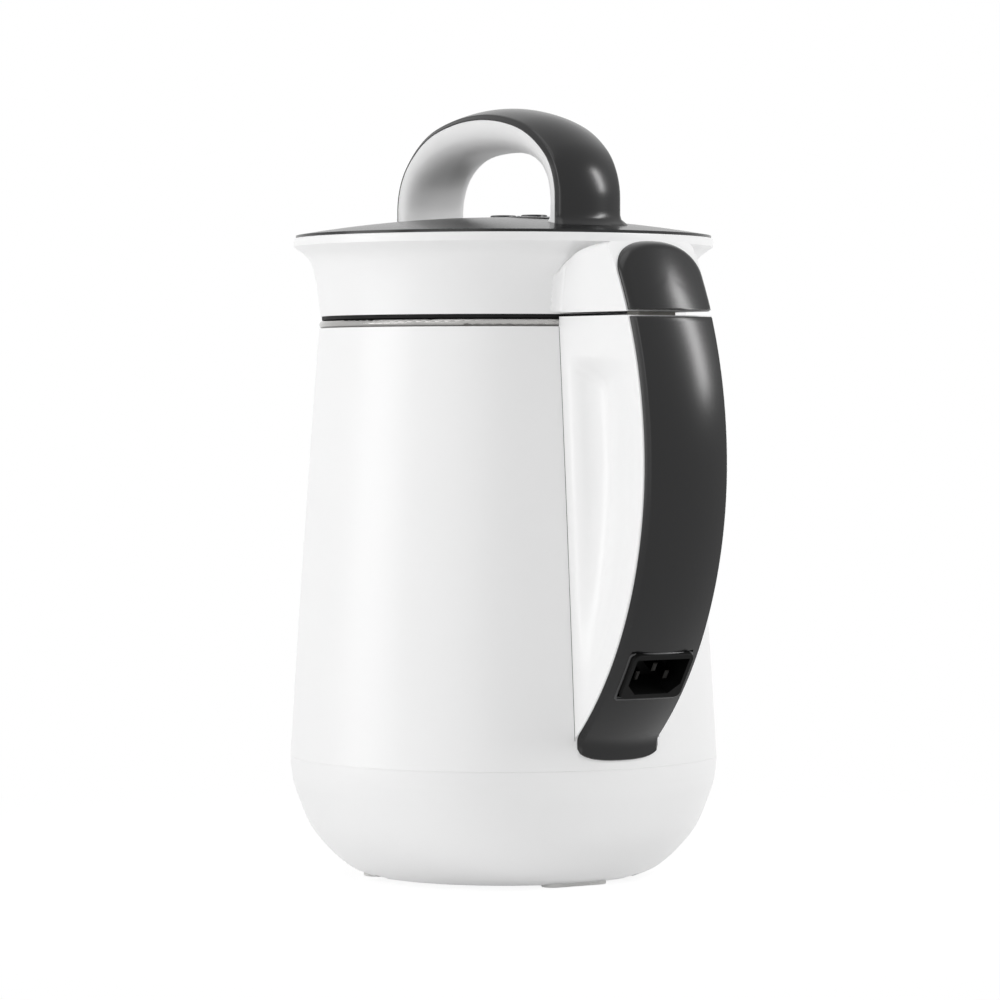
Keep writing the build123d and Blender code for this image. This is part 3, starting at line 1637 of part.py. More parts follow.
def lower_bracket():
    """Bracket under the field, with the cup of the lower bearing hanging from it."""
    cup_low = lower_plate_z - bearing_width - 2 * cup_floor
    plate_top = lower_plate_z + bracket_thick
    shape = bracket(lower_plate_z, cup_low, plate_top, lower_plate_z, core_bottom_z)
    shape = shape - disc(bearing_radius, cup_low + cup_floor, plate_top + cut_over)
    shape = shape - disc(cup_bore, cup_low - cut_over, plate_top + cut_over)
    for x, y in bolt_places():
        shape = shape - disc(bolt_radius, lower_plate_z - cut_over, core_bottom_z + cut_over, x, y)
    return shape


def upper_bracket():
    """Bracket over the field, whose arms run out to the rubber mounts."""
    top_z = upper_plate_z + bracket_thick
    cup_top = top_z + bearing_width
    shape = bracket(upper_plate_z, upper_plate_z, cup_top, core_bottom_z + core_height, top_z)
    reach = block(
        bolt_ring_radius, mount_ring_radius, -bracket_arm_width / 2, bracket_arm_width / 2, upper_plate_z, top_z
    ) + disc(bracket_arm_width / 2, upper_plate_z, top_z, mount_ring_radius)
    for part in around(reach, evenly(stud_count, 45.0)):
        shape = shape + part
    shape = shape - disc(bearing_radius, upper_plate_z - cut_over, cup_top - cup_floor)
    shape = shape - disc(cup_bore, upper_plate_z, cup_top + cut_over)
    low_z = core_bottom_z + core_height - cut_over
    for x, y in bolt_places():
        shape = shape - disc(bolt_radius + slip_gap, low_z, top_z + cut_over, x, y)
    return shape


def motor_bolts():
    """Four long bolts from the upper bracket through the field into the lower one."""
    head_low = upper_plate_z + bracket_thick
    head = disc(bolt_head_radius, head_low, head_low + bolt_head_height)
    slot = block(
        -bolt_head_radius,
        bolt_head_radius,
        -screw_slot_width / 2,
        screw_slot_width / 2,
        head_low + bolt_head_height / 2,
        head_low + 2 * bolt_head_height,
    )
    bolt = head + disc(bolt_radius, lower_plate_z, head_low) - slot
    return [Pos(x, y, 0) * bolt for x, y in bolt_places()]


def motor_bearings():
    """Two ball bearings as closed rings with their races marked by a groove."""
    bore = shaft_radius + run_gap
    outer_race = bearing_radius - bearing_race
    inner_race = bore + bearing_race
    half = bearing_width / 2
    bearing = ring(bearing_radius, bore, -half, half)
    groove = ring(outer_race, inner_race, half - bearing_groove, half + cut_over)
    bearing = bearing - groove - mirror(groove, Plane.XY)
    lower_z = lower_plate_z - bearing_width / 2 - cup_floor
    upper_z = upper_plate_z + bracket_thick + half - cup_floor
    return [Pos(0, 0, lower_z) * bearing, Pos(0, 0, upper_z) * bearing]


def motor_mounts():
    """Four waisted rubber mounts between the upper bracket and the head's flange."""
    low_z = head_flange_z + head_flange_thick
    high_z = upper_plate_z
    middle = (low_z + high_z) / 2
    edge = [(mount_radius, low_z), (mount_waist, middle), (mount_radius, high_z)]
    mount = spun(ThreePointArc(*edge), Polyline(edge[-1], (mount_bore, high_z), (mount_bore, low_z), edge[0]))
    return around(Pos(mount_ring_radius, 0, 0) * mount, evenly(stud_count, 45.0))


def brush_holders():
    """Two brass tubes for the brushes, hung from the upper bracket."""
    half = brush_width / 2 + brush_tube_wall
    low_z = brush_z - brush_height / 2 - brush_tube_wall
    tube = block(brush_tube_start, brush_tube_end, -half, half, low_z, brush_z + brush_height / 2 + brush_tube_wall)
    tab = block(brush_tube_start, bracket_plate_radius, -half, half, brush_z, upper_plate_z)
    bore = block(
        0,
        2 * brush_tube_end,
        -brush_width / 2 - run_gap,
        brush_width / 2 + run_gap,
        brush_z - brush_height / 2 - run_gap,
        brush_z + brush_height / 2 + run_gap,
    )
    return around(tube + tab - bore, (90.0, 270.0))


def carbon_brushes():
    """Two carbon blocks that point at the commutator."""
    start = commutator_radius + seat_gap
    brush = block(
        start,
        start + brush_length,
        -brush_width / 2,
        brush_width / 2,
        brush_z - brush_height / 2,
        brush_z + brush_height / 2,
    )
    return around(brush, (90.0, 270.0))


def motor_shaft():
    """Ground shaft from the fan down to the blade, stepped where the blade seats."""
    return spun_polygon(
        (0, shaft_foot_z),
        (shaft_foot_radius, shaft_foot_z),
        (shaft_foot_radius, shaft_step_z),
        (shaft_radius, shaft_step_z),
        (shaft_radius, shaft_top_z),
        (0, shaft_top_z),
    )


def armature_core():
    """Laminated armature with a slot for each coil."""
    top_z = core_bottom_z + core_height
    core = ring(armature_radius, shaft_radius, core_bottom_z, top_z)
    half = armature_slot_width / 2
    slot = block(
        armature_radius - armature_slot_depth,
        armature_radius + cut_over,
        -half,
        half,
        core_bottom_z - cut_over,
        top_z + cut_over,
    )
    for part in around(slot, evenly(armature_slots)):
        core = core - part
    return core


def armature_winding():
    """Rounded end turns above and below the armature's core."""
    top_z = core_bottom_z + core_height
    turns = []
    for low_z in (core_bottom_z - winding_height, top_z):
        turn = ring(winding_radius, shaft_radius, low_z, low_z + winding_height)
        turns.append(fillet(turn.edges().filter_by(GeomType.CIRCLE).sort_by(SortBy.RADIUS)[-2:], winding_round))
    return turns


def commutator():
    """Copper commutator slit into bars."""
    top_z = commutator_z + commutator_height
    shape = ring(commutator_radius, shaft_radius, commutator_z, top_z)
    half = commutator_slit / 2
    start = commutator_radius - commutator_slit_depth
    slit = block(start, commutator_radius + cut_over, -half, half, commutator_z - cut_over, top_z + cut_over)
    for part in around(slit, evenly(armature_slots)):
        shape = shape - part
    return shape


def cooling_fan():
    """Radial fan on the shaft's upper end: hub, disc and leaning blades."""
    top_z = fan_z + fan_height
    fan = disc(fan_hub_radius, fan_z, top_z) + disc(fan_radius, fan_z, fan_z + fan_disc)
    length = fan_radius - fan_hub_radius
    vane = block(0, length, -fan_blade_thick / 2, fan_blade_thick / 2, fan_z + fan_disc / 2, top_z)
    vane = Pos(fan_hub_radius - fan_blade_thick, 0, 0) * Rot(0, 0, fan_lean) * vane
    vane = vane & disc(fan_radius, fan_z, top_z)
    for part in around(vane, evenly(fan_blades)):
        fan = fan + part
    return fan - disc(shaft_radius, fan_z - cut_over, top_z + cut_over)


def wing(bend, angle):
    """One cutting wing: flat at the hub, then bent up or down, tapered to a slanted tip."""
    high_z = shaft_step_z - blade_washer
    low_z = high_z - blade_thick
    side = slab(
        Polyline(
            (0, low_z),
            (blade_bend_radius, low_z),
            (blade_reach, low_z + bend),
            (blade_reach, high_z + bend),
            (blade_bend_radius, high_z),
            (0, high_z),
            close=True,
        ),
        half=blade_root_half,
    )
    plan = make_face(
        Polyline(
            (0, -blade_root_half),
            (blade_bend_radius, -blade_root_half),
            (blade_reach, -blade_tip_half),
            (blade_reach - blade_tip_half, blade_tip_half),
            (blade_bend_radius, blade_root_half),
            (0, blade_root_half),
            close=True,
        )
    )
    span = 2 * (blade_up + blade_down)
    return Rot(0, 0, angle) * (side & extrude(Pos(0, 0, low_z - span) * plan, 2 * span))


def blade():
    """Four-winged blade: two wings up and two down, on a hub with the shaft's hole."""
    high_z = shaft_step_z - blade_washer
    shape = disc(blade_hub_radius, high_z - blade_thick, high_z)
    for angle in evenly(2):
        shape = shape + wing(blade_up, angle) + wing(-blade_down, angle + 90)
    washer = disc(blade_hub_radius, high_z, shaft_step_z)
    return shape + washer - disc(shaft_foot_radius, shaft_foot_z, shaft_step_z + cut_over)


def blade_nut():
    """Domed nut under the blade, with flats for a spanner."""
    high_z = shaft_step_z - blade_washer - blade_thick
    low_z = high_z - blade_nut_height
    dome_z = high_z - blade_nut_flats
    cap = spun(
        ThreePointArc(
            (0, low_z),
            (blade_nut_radius * math.sin(math.radians(45)), dome_z - (dome_z - low_z) * math.cos(math.radians(45))),
            (blade_nut_radius, dome_z),
        ),
        Polyline((blade_nut_radius, dome_z), (blade_nut_radius, high_z), (0, high_z), (0, low_z)),
    )
    flats = extrude(Pos(0, 0, low_z) * RegularPolygon(blade_nut_radius, 6, major_radius=False), blade_nut_height)
    hexagon = Pos(0, 0, dome_z) * extrude(RegularPolygon(blade_nut_radius, 6), blade_nut_flats)
    return (cap & flats & (hexagon + disc(blade_nut_radius, low_z, dome_z))) - disc(
        shaft_foot_radius, shaft_foot_z, high_z + cut_over
    )


def start_button():
    """Button nearest the handle."""
    return button(button_places()[2])


def program_button():
    """Middle button."""
    return button(button_places()[1])


def stop_button():
    """Button furthest from the handle."""
    return button(button_places()[0])


MAKERS = (
    outer_shell,
    base_bowl,
    bottom_cover,
    foot_pads,
    base_screws,
    inner_pot,
    pot_gasket,
    pot_nuts,
    heater_plate,
    heater_tube,
    thermostat,
    thermal_fuse,
    handle_shell,
    handle_strip,
    handle_screws,
    mains_inlet,
    inlet_pins,
    handle_lead,
    heater_lead,
    jug_coupler,
    head_shell,
    head_strip,
    head_coupler,
    coupler_pins,
    head_lead,
    deck_cover,
    control_panel,
    start_button,
    program_button,
    stop_button,
    panel_board,
    power_board,
    board_parts,
    arch_cap,
    arch_lining,
    lower_cover,
    cover_nuts,
    seal_ring,
    shaft_sleeve,
    sleeve_bush,
    shaft_seal,
    temperature_probe,
    overflow_probe,
    stator_core,
    field_coils,
    lower_bracket,
    upper_bracket,
    motor_bolts,
    motor_bearings,
    motor_mounts,
    brush_holders,
    carbon_brushes,
    motor_shaft,
    armature_core,
    armature_winding,
    commutator,
    cooling_fan,
    blade,
    blade_nut,
)


def export(name, shape):
    """Write one node, which holds one solid or several alike."""
    solids = shape if isinstance(shape, list) else shape.solids()
    node = Compound(children=[s.solid() for s in solids]) if len(solids) > 1 else solids[0]
    export_step(node, f"parts/{name}.step")


os.makedirs("parts", exist_ok=True)
for maker in MAKERS:
    export(maker.__name__, maker())
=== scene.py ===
import logging
import math
from dataclasses import dataclass, field
from enum import Enum
from typing import Any, Sequence

import bmesh
import bpy
from mathutils import Matrix, Vector


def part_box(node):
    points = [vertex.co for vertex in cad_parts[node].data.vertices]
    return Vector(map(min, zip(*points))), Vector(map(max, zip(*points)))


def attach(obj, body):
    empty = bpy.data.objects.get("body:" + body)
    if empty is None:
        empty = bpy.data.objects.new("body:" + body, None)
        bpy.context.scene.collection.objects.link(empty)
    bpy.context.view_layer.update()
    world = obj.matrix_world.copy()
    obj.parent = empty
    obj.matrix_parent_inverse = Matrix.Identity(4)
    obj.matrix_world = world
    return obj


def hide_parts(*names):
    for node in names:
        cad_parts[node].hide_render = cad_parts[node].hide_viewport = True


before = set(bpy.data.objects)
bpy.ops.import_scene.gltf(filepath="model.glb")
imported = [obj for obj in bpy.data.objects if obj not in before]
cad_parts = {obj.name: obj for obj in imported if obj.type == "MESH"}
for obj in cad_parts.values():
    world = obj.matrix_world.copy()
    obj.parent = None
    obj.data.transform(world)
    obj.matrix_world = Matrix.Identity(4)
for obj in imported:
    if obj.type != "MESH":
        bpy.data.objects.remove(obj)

# Looks of the soy milk maker: a white double-walled jug with a side handle, and a head that lifts off with
# the controls, the carry handle, the motor and the blade. Sizes are millimetres until MM makes them metres.

MM = 0.001
LOG = logging.getLogger("soy_milk_maker")
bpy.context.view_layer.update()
WHITE = (1.0, 1.0, 1.0, 1.0)
TINY = 1e-9
# Distance in millimetres below which two points count as one place.
WELD = 0.002
# Share of an edge that the rounding of one corner may take.
ROUND_REACH = 0.49

Point = tuple[float, float]
Spot = tuple[float, float, float]
Ring = list[Spot]
Skin = tuple[Ring, list[list[int]]]
Socket = bpy.types.NodeSocket


# Colours and nodes


def linear(code: str) -> tuple[float, float, float, float]:
    """Turns an sRGB hex colour into linear light.

    Args:
        code: Six hex digits, with or without a leading hash.

    Returns:
        Linear red, green, blue and an alpha of one.
    """
    digits = code.lstrip("#")
    parts = [int(digits[i:i + 2], 16) / 255 for i in (0, 2, 4)]
    lit = [c / 12.92 if c <= 0.04045 else ((c + 0.055) / 1.055) ** 2.4 for c in parts]
    return (lit[0], lit[1], lit[2], 1.0)


def per_mm(size: float) -> float:
    """Texture scale at which one cell of a pattern is a size in millimetres across."""
    return 1.0 / (size * MM)


def add_node(tree: bpy.types.NodeTree, kind: str, inputs: dict[Any, Any] | None = None,
             **settings: Any) -> bpy.types.Node:
    """Adds one node to a tree.

    Args:
        tree: Tree that gets the node.
        kind: Blender's name for the node's type.
        inputs: A value or another node's output for each input, by name or number.
        settings: Values for the node's own properties.

    Returns:
        The new node.
    """
    made = tree.nodes.new(kind)
    for name, value in settings.items():
        setattr(made, name, value)
    for name, value in (inputs or {}).items():
        if isinstance(value, Socket):
            tree.links.new(value, made.inputs[name])
        else:
            made.inputs[name].default_value = value
    return made


class Shader:
    """A material under construction: its node tree, with patterns laid in object coordinates."""

    def __init__(self, name: str) -> None:
        """Starts a named material whose tree holds only its coordinates."""
        self.material = bpy.data.materials.new(name)
        self.material.use_nodes = True
        self.tree = self.material.node_tree
        self.tree.nodes.clear()
        self.place: Socket = self.add("ShaderNodeTexCoord").outputs["Object"]

    def add(self, kind: str, inputs: dict[Any, Any] | None = None, **settings: Any) -> bpy.types.Node:
        """Adds one node, as add_node does."""
        return add_node(self.tree, kind, inputs, **settings)

    def mapped(self, **inputs: Spot) -> Socket:
        """Coordinates with a scale or a rotation put on them."""
        return self.add("ShaderNodeMapping", {"Vector": self.place, **inputs}).outputs["Vector"]

    def noise(self, size: float, detail: float, place: Socket | None = None) -> Socket:
        """Noise of a cell size in millimetres, on the plain coordinates if no others are given."""
        at = self.place if place is None else place
        inputs = {"Vector": at, "Scale": per_mm(size), "Detail": detail}
        return self.add("ShaderNodeTexNoise", inputs).outputs["Fac"]

    def tint(self, share: Socket, first: str, second: str) -> Socket:
        """Mix of two hex colours."""
        inputs = {0: share, 6: linear(first), 7: linear(second)}
        return self.add("ShaderNodeMix", inputs, data_type="RGBA").outputs[2]

    def ranged(self, value: Socket, source: Point, target: Point, smooth: bool = False) -> Socket:
        """Value carried from one range over to another.

        Args:
            value: The value.
            source: Range that it comes from.
            target: Range that it is carried to.
            smooth: Whether it sets off and arrives softly.

        Returns:
            The new value.
        """
        inputs = {"Value": value, "From Min": source[0], "From Max": source[1],
                  "To Min": target[0], "To Max": target[1]}
        kind = "SMOOTHSTEP" if smooth else "LINEAR"
        return self.add("ShaderNodeMapRange", inputs, interpolation_type=kind).outputs["Result"]

    def gloss(self, value: Socket, source: Point, middle: float, spread: float,
              smooth: bool = False) -> Socket:
        """Roughness that strays by a spread from its middle as another value crosses a range."""
        return self.ranged(value, source, (middle - spread, middle + spread), smooth)

    def bump(self, height: Socket, depth: float) -> Socket:
        """Normal of a relief whose depth is given in millimetres."""
        inputs = {"Height": height, "Strength": 1.0, "Distance": depth * MM}
        return self.add("ShaderNodeBump", inputs).outputs["Normal"]

    def closed(self, surface: Socket) -> bpy.types.Material:
        """Ends the tree with its surface."""
        self.add("ShaderNodeOutputMaterial", {"Surface": surface})
        return self.material

    def principled(self, colour: Socket, gloss: Socket, normal: Socket, **more: float) -> bpy.types.Material:
        """Ends the tree with a principled surface.

        Args:
            colour: Base colour.
            gloss: Roughness.
            normal: Normal with the relief in it.
            more: Other inputs, with an underscore for each space in the name.

        Returns:
            The finished material.
        """
        inputs: dict[str, Any] = {"Base Color": colour, "Roughness": gloss, "Normal": normal}
        inputs.update({name.replace("_", " "): value for name, value in more.items()})
        return self.closed(self.add("ShaderNodeBsdfPrincipled", inputs).outputs["BSDF"])


def seen_rays(tree: bpy.types.NodeTree) -> tuple[Socket, Socket]:
    """Tells which rays look straight at something and which see it in a mirror or through glass.

    Args:
        tree: Tree that the answer is used in.

    Returns:
        One for a camera ray, and one for a ray off a mirror or through glass.
    """
    path = add_node(tree, "ShaderNodeLightPath").outputs
    bent = add_node(tree, "ShaderNodeMath", {0: path["Is Glossy Ray"], 1: path["Is Transmission Ray"]},
                    operation="MAXIMUM")
    return path["Is Camera Ray"], bent.outputs[0]


def blended(tree: bpy.types.NodeTree, share: Socket, first: bpy.types.Node,
            second: bpy.types.Node) -> bpy.types.Node:
    """Mixes the surfaces of two nodes by a share."""
    return add_node(tree, "ShaderNodeMixShader", {0: share, 1: first.outputs[0], 2: second.outputs[0]})


# Finishes


@dataclass(frozen=True)
class MouldedPlastic:
    """Injection-moulded plastic: a fine spark-eroded or polished skin with a faint cloud in its gloss."""

    name: str
    colour: str
    shade: str
    roughness: float
    spread: float
    grain: float
    depth: float
    coat: float = 0.0
    sheen: float = 0.5
    cloud: float = 55.0
    contrast: Point = (0.1, 0.9)
    index: float = 1.53
    coat_roughness: float = 0.08

    def material(self) -> bpy.types.Material:
        """Builds the material."""
        shader = Shader(self.name)
        cloud = shader.noise(self.cloud, 1.0)
        return shader.principled(
            shader.tint(cloud, self.shade, self.colour),
            shader.gloss(cloud, self.contrast, self.roughness, self.spread, smooth=True),
            shader.bump(shader.noise(self.grain, 2.0), self.depth),
            IOR=self.index, Specular_IOR_Level=self.sheen, Coat_Weight=self.coat,
            Coat_Roughness=self.coat_roughness)


class Lay(Enum):
    """Which way the fine lines of a worked metal run, as the scale that pulls its grain out into them."""

    ROUND = (0.02, 0.02, 1.0)
    ALONG = (1.0, 1.0, 0.02)
    NONE = (1.0, 1.0, 1.0)


@dataclass(frozen=True)
class WorkedMetal:
    """Metal with the fine lines that drawing, turning or brushing leaves in it."""

    name: str
    colour: str
    shade: str
    roughness: float
    spread: float
    line: float
    depth: float
    lay: Lay = Lay.ROUND
    stain: float = 16.0
    contrast: Point = (0.25, 0.75)

    def material(self) -> bpy.types.Material:
        """Builds the material."""
        shader = Shader(self.name)
        lines = shader.noise(self.line, 4.0, shader.mapped(Scale=self.lay.value))
        return shader.principled(
            shader.tint(shader.noise(self.stain, 3.0), self.shade, self.colour),
            shader.gloss(lines, self.contrast, self.roughness, self.spread),
            shader.bump(lines, self.depth), Metallic=1.0)


@dataclass(frozen=True)
class SoftRubber:
    """Moulded rubber or silicone: dull, with a fine matt grain and paler dusty patches."""

    name: str
    colour: str
    dust: str
    roughness: float
    grain: float
    patch: float = 9.0
    dusty: Point = (0.45, 0.8)
    covered: Point = (0.0, 0.6)
    contrast: Point = (0.3, 0.7)
    spread: float = 0.08
    depth: float = 0.05
    index: float = 1.5
    sheen: float = 0.22

    def material(self) -> bpy.types.Material:
        """Builds the material."""
        shader = Shader(self.name)
        dust = shader.noise(self.patch, 5.0)
        grain = shader.add("ShaderNodeTexVoronoi", {"Vector": shader.place, "Scale": per_mm(self.grain)})
        return shader.principled(
            shader.tint(shader.ranged(dust, self.dusty, self.covered), self.colour, self.dust),
            shader.gloss(dust, self.contrast, self.roughness, self.spread),
            shader.bump(grain.outputs["Distance"], self.depth), IOR=self.index, Specular_IOR_Level=self.sheen)


@dataclass(frozen=True)
class StackedSheet:
    """Something built of thin layers or turns: steel laminations, enamelled wire."""

    name: str
    colour: str
    shade: str
    pitch: float
    roughness: float
    metallic: float
    tilt: Spot = (0.0, 0.0, 0.0)
    band: float = 0.314
    waver: float = 0.6
    stain: float = 6.0
    contrast: Point = (0.3, 0.7)
    spread: float = 0.1
    depth: float = 0.15

    def material(self) -> bpy.types.Material:
        """Builds the material."""
        shader = Shader(self.name)
        layers = shader.add("ShaderNodeTexWave", {
            "Vector": shader.mapped(Rotation=self.tilt), "Scale": per_mm(self.pitch) * self.band,
            "Distortion": self.waver, "Detail": 2.0, "Detail Scale": 1.5},
            wave_type="BANDS", bands_direction="Z").outputs["Fac"]
        return shader.principled(
            shader.tint(layers, self.shade, self.colour),
            shader.gloss(shader.noise(self.stain, 3.0), self.contrast, self.roughness, self.spread),
            shader.bump(layers, self.depth), Metallic=self.metallic)


@dataclass(frozen=True)
class CircuitBoard:
    """Glass-epoxy board under green solder mask, with the tracks showing through it."""

    name: str
    mask: str
    track: str
    pitch: float
    track_width: float = 0.03
    grain: float = 0.6
    depth: float = 0.03
    gloss: Point = (0.25, 0.45)

    def material(self) -> bpy.types.Material:
        """Builds the material."""
        shader = Shader(self.name)
        weave = shader.add("ShaderNodeTexBrick", {
            "Vector": shader.place, "Scale": per_mm(self.pitch * 4), "Mortar Size": self.track_width,
            "Color1": linear(self.mask), "Color2": linear(self.mask), "Mortar": linear(self.track)},
            offset=0.5)
        noise = shader.noise(self.grain, 2.0)
        return shader.principled(weave.outputs["Color"], shader.ranged(noise, (0.0, 1.0), self.gloss),
                                 shader.bump(noise, self.depth))


class Finish(Enum):
    """The finishes of this object, each from the real material and how it was made."""

    # White ABS from a polished tool: bright, with soft wide highlights and hardly any texture.
    WHITE_ABS = MouldedPlastic("polished_white_abs", "#F5F5F5", "#F2F2F2", 0.33, 0.02, 1.2, 0.006)
    # Soft-touch painted polypropylene of strip, deck and carry handle: near black, broad grey sheen.
    DARK_PP = MouldedPlastic(
        "satin_charcoal_polypropylene", "#0E0E0F", "#0B0B0C", 0.235, 0.012, 0.5, 0.003, 0.0, 0.36)
    # Polycarbonate panel: black and mirror smooth.
    PANEL_PC = MouldedPlastic("gloss_black_polycarbonate", "#121213", "#0F0F10", 0.10, 0.02, 2.5, 0.004, 0.3)
    # Glass-filled nylon of sockets, plugs and bosses: black, dull, a little mottled by the fibres.
    BLACK_NYLON = MouldedPlastic("glass_filled_black_nylon", "#0E0E0F", "#161617", 0.46, 0.08, 0.4, 0.02)
    # The mains inlet: matt black, taking nearly all light.
    INLET_NYLON = MouldedPlastic(
        "matt_black_inlet_nylon", "#060606", "#090909", 0.55, 0.05, 0.5, 0.01, 0.0, 0.12)
    # Plug and socket housings between head and handle: undyed nylon.
    PALE_NYLON = MouldedPlastic("undyed_nylon", "#D2D0CA", "#C8C6BF", 0.42, 0.05, 0.6, 0.01)
    # Grey satin moulding, lighter than the strip, for two thin cords: round the inlet its grey is painted
    # highlight for the bezel's edge, along the handle's crease it is painted shade for the joint gap.
    SHADE_AND_HIGHLIGHT_GREY = MouldedPlastic("grey_painted_shade_and_highlight", "#3C3C3D", "#343435", 0.33, 0.02, 0.5, 0.006)
    # Marks printed on the buttons and the lenses of the lights.
    MARK_INK = MouldedPlastic("white_pad_print", "#D9DADB", "#CBCCCD", 0.5, 0.05, 0.3, 0.004)
    LENS = MouldedPlastic("frosted_lens_polycarbonate", "#A9B4BC", "#98A4AD", 0.32, 0.02, 0.6, 0.003, 0.2)
    # Button caps: grey ABS with a fine satin grain.
    BUTTON_ABS = MouldedPlastic("satin_grey_abs", "#3A3A3C", "#333335", 0.32, 0.05, 0.4, 0.012)
    # Relay and transformer cases: phenolic, dull brown-black.
    PHENOLIC = MouldedPlastic("phenolic_moulding", "#1D1A17", "#26211C", 0.5, 0.08, 0.5, 0.02)
    # Carbon brushes: sooty grey block with fine pores.
    CARBON = MouldedPlastic("pressed_carbon", "#2C2C2D", "#1B1B1C", 0.6, 0.1, 0.25, 0.03)
    # Drawn stainless pot and bell, with rings from polishing on the lathe; coloured a little darker than bare
    # stainless, a painted reflection of the dark surroundings seen in the steel band under the head.
    POT_STEEL = WorkedMetal("polished_stainless_304", "#B2B1AF", "#A8A7A5", 0.17, 0.05, 0.35, 0.004)
    # Blade, shaft, probes and nuts: finer polish.
    BRIGHT_STEEL = WorkedMetal(
        "ground_stainless_420", "#CFCECC", "#B9B8B6", 0.22, 0.07, 0.2, 0.004, Lay.ALONG)
    # Zinc-plated screws: cooler and a little cloudy.
    SCREW_ZINC = WorkedMetal("zinc_plated_steel", "#B6BBC0", "#9DA3A8", 0.34, 0.08, 0.3, 0.006, Lay.NONE)
    # Die-cast aluminium brackets: pale, grainy.
    CAST_ALUMINIUM = WorkedMetal("die_cast_aluminium", "#B9BABB", "#A4A5A6", 0.48, 0.08, 0.5, 0.03, Lay.NONE)
    # Rolled aluminium heater plate: straight mill lines.
    PLATE_ALUMINIUM = WorkedMetal("rolled_aluminium", "#C4C5C6", "#B3B4B5", 0.36, 0.08, 0.3, 0.01, Lay.ALONG)
    # Brass contacts and pins: nickel-flashed, warm.
    BRASS = WorkedMetal("nickel_flashed_brass", "#CDBE93", "#B9A878", 0.28, 0.06, 0.25, 0.005, Lay.ALONG)
    # Sintered bronze bush: brown, porous.
    BRONZE = WorkedMetal("sintered_bronze", "#8C6A45", "#735536", 0.5, 0.1, 0.35, 0.03, Lay.NONE)
    # Motor laminations: half-millimetre steel sheets seen on edge.
    CORE_STEEL = StackedSheet("laminated_electrical_steel", "#7B7C7E", "#4D4E50", 0.5, 0.45, 0.9)
    # Enamelled copper wire, 0.6 mm thick, lying side by side.
    WINDING = StackedSheet("enamelled_copper_wire", "#B4632E", "#6E3315", 0.6, 0.3, 0.85, (0.0, 0.5, 0.3))
    BOARD = CircuitBoard("green_glass_epoxy_board", "#1F5A35", "#2F7A48", 3.0)
    # The inlet's pins: nickel over brass, coloured far darker than nickel as painted shade for the pins deep
    # in the socket.
    PIN_NICKEL = WorkedMetal("nickel_plate_painted_shade", "#2E2D2C", "#262524", 0.42, 0.06, 0.4, 0.003, Lay.ALONG)
    # Motor mounts: black nitrile, dusty.
    MOUNT_RUBBER = SoftRubber("black_nitrile_rubber", "#151515", "#2B2B2A", 0.72, 0.35)
    # Feet: pale thermoplastic rubber, nearly as light as the base.
    FOOT_RUBBER = SoftRubber("pale_thermoplastic_rubber", "#EEEEEC", "#E6E6E3", 0.62, 0.35)
    # Food-grade silicone seals: grey and soft.
    SILICONE = SoftRubber("grey_food_silicone", "#7E7F80", "#919293", 0.55, 0.5)
    # The seal round the bell: black silicone.
    SEAL = SoftRubber("black_food_silicone", "#060606", "#0B0B0B", 0.66, 0.5)
    # Lead jackets: matt black PVC.
    JACKET = SoftRubber("black_pvc_jacket", "#141414", "#1F1F1F", 0.6, 0.4)


class Wardrobe:
    """Hands out each finish's material, made once."""

    def __init__(self) -> None:
        """Starts with nothing made."""
        self.made: dict[Finish, bpy.types.Material] = {}

    def get(self, finish: Finish) -> bpy.types.Material:
        """Finds or makes a material.

        Args:
            finish: Which finish is wanted.

        Returns:
            Its material.
        """
        if finish not in self.made:
            self.made[finish] = finish.value.material()
        return self.made[finish]


WARDROBE = Wardrobe()


def dress(node: str, finish: Finish) -> None:
    """Gives a CAD node its finish and reports it.

    Args:
        node: Name of the node.
        finish: Finish that it gets.
    """
    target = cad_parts[node]
    target.data.materials.clear()
    target.data.materials.append(WARDROBE.get(finish))
    LOG.info("%s keeps its CAD shape in %s", node, finish.value.name)


# Lines and curves


def spaced(first: float, last: float, steps: int) -> list[float]:
    """Values at even steps from a first to a last one, both included."""
    return [first + (last - first) * i / steps for i in range(steps + 1)]


def circle(radius: float, z: float, steps: int, x: float = 0.0) -> Ring:
    """Level circle of points about a centre on the X axis."""
    turns = [2 * math.pi * i / steps for i in range(steps)]
    return [(x + radius * math.cos(turn), radius * math.sin(turn), z) for turn in turns]


def spun(way: Vector, turn: float) -> Vector:
    """Turns a flat vector by an angle in radians."""
    c, q = math.cos(turn), math.sin(turn)
    return Vector((way.x * c - way.y * q, way.x * q + way.y * c))


def rounded(corners: Sequence[Spot], steps: int = 5) -> list[Point]:
    """Rounds the corners of a closed outline.

    Args:
        corners: First and second coordinate and the radius at each corner.
        steps: Points on each rounding.

    Returns:
        The outline's points.
    """
    points: list[Point] = []
    count = len(corners)
    for i, (x, y, radius) in enumerate(corners):
        here = Vector((x, y))
        back = Vector(corners[i - 1][:2]) - here
        ahead = Vector(corners[(i + 1) % count][:2]) - here
        if radius <= 0 or back.length == 0 or ahead.length == 0:
            points.append((x, y))
            continue
        most = ROUND_REACH * min(back.length, ahead.length)
        reach = min(radius / math.tan(back.angle(ahead) / 2), most)
        start, end = here + back.normalized() * reach, here + ahead.normalized() * reach
        points += [tuple(start * (1 - t) ** 2 + here * 2 * t * (1 - t) + end * t ** 2)
                   for t in spaced(0, 1, steps)]
    return points


def round_box(wide: float, tall: float, corner: float, steps: int) -> list[Point]:
    """Rectangle about the middle, by its half sizes, with rounded corners."""
    return rounded([(a * wide, b * tall, corner) for a, b in ((-1, -1), (1, -1), (1, 1), (-1, 1))], steps)


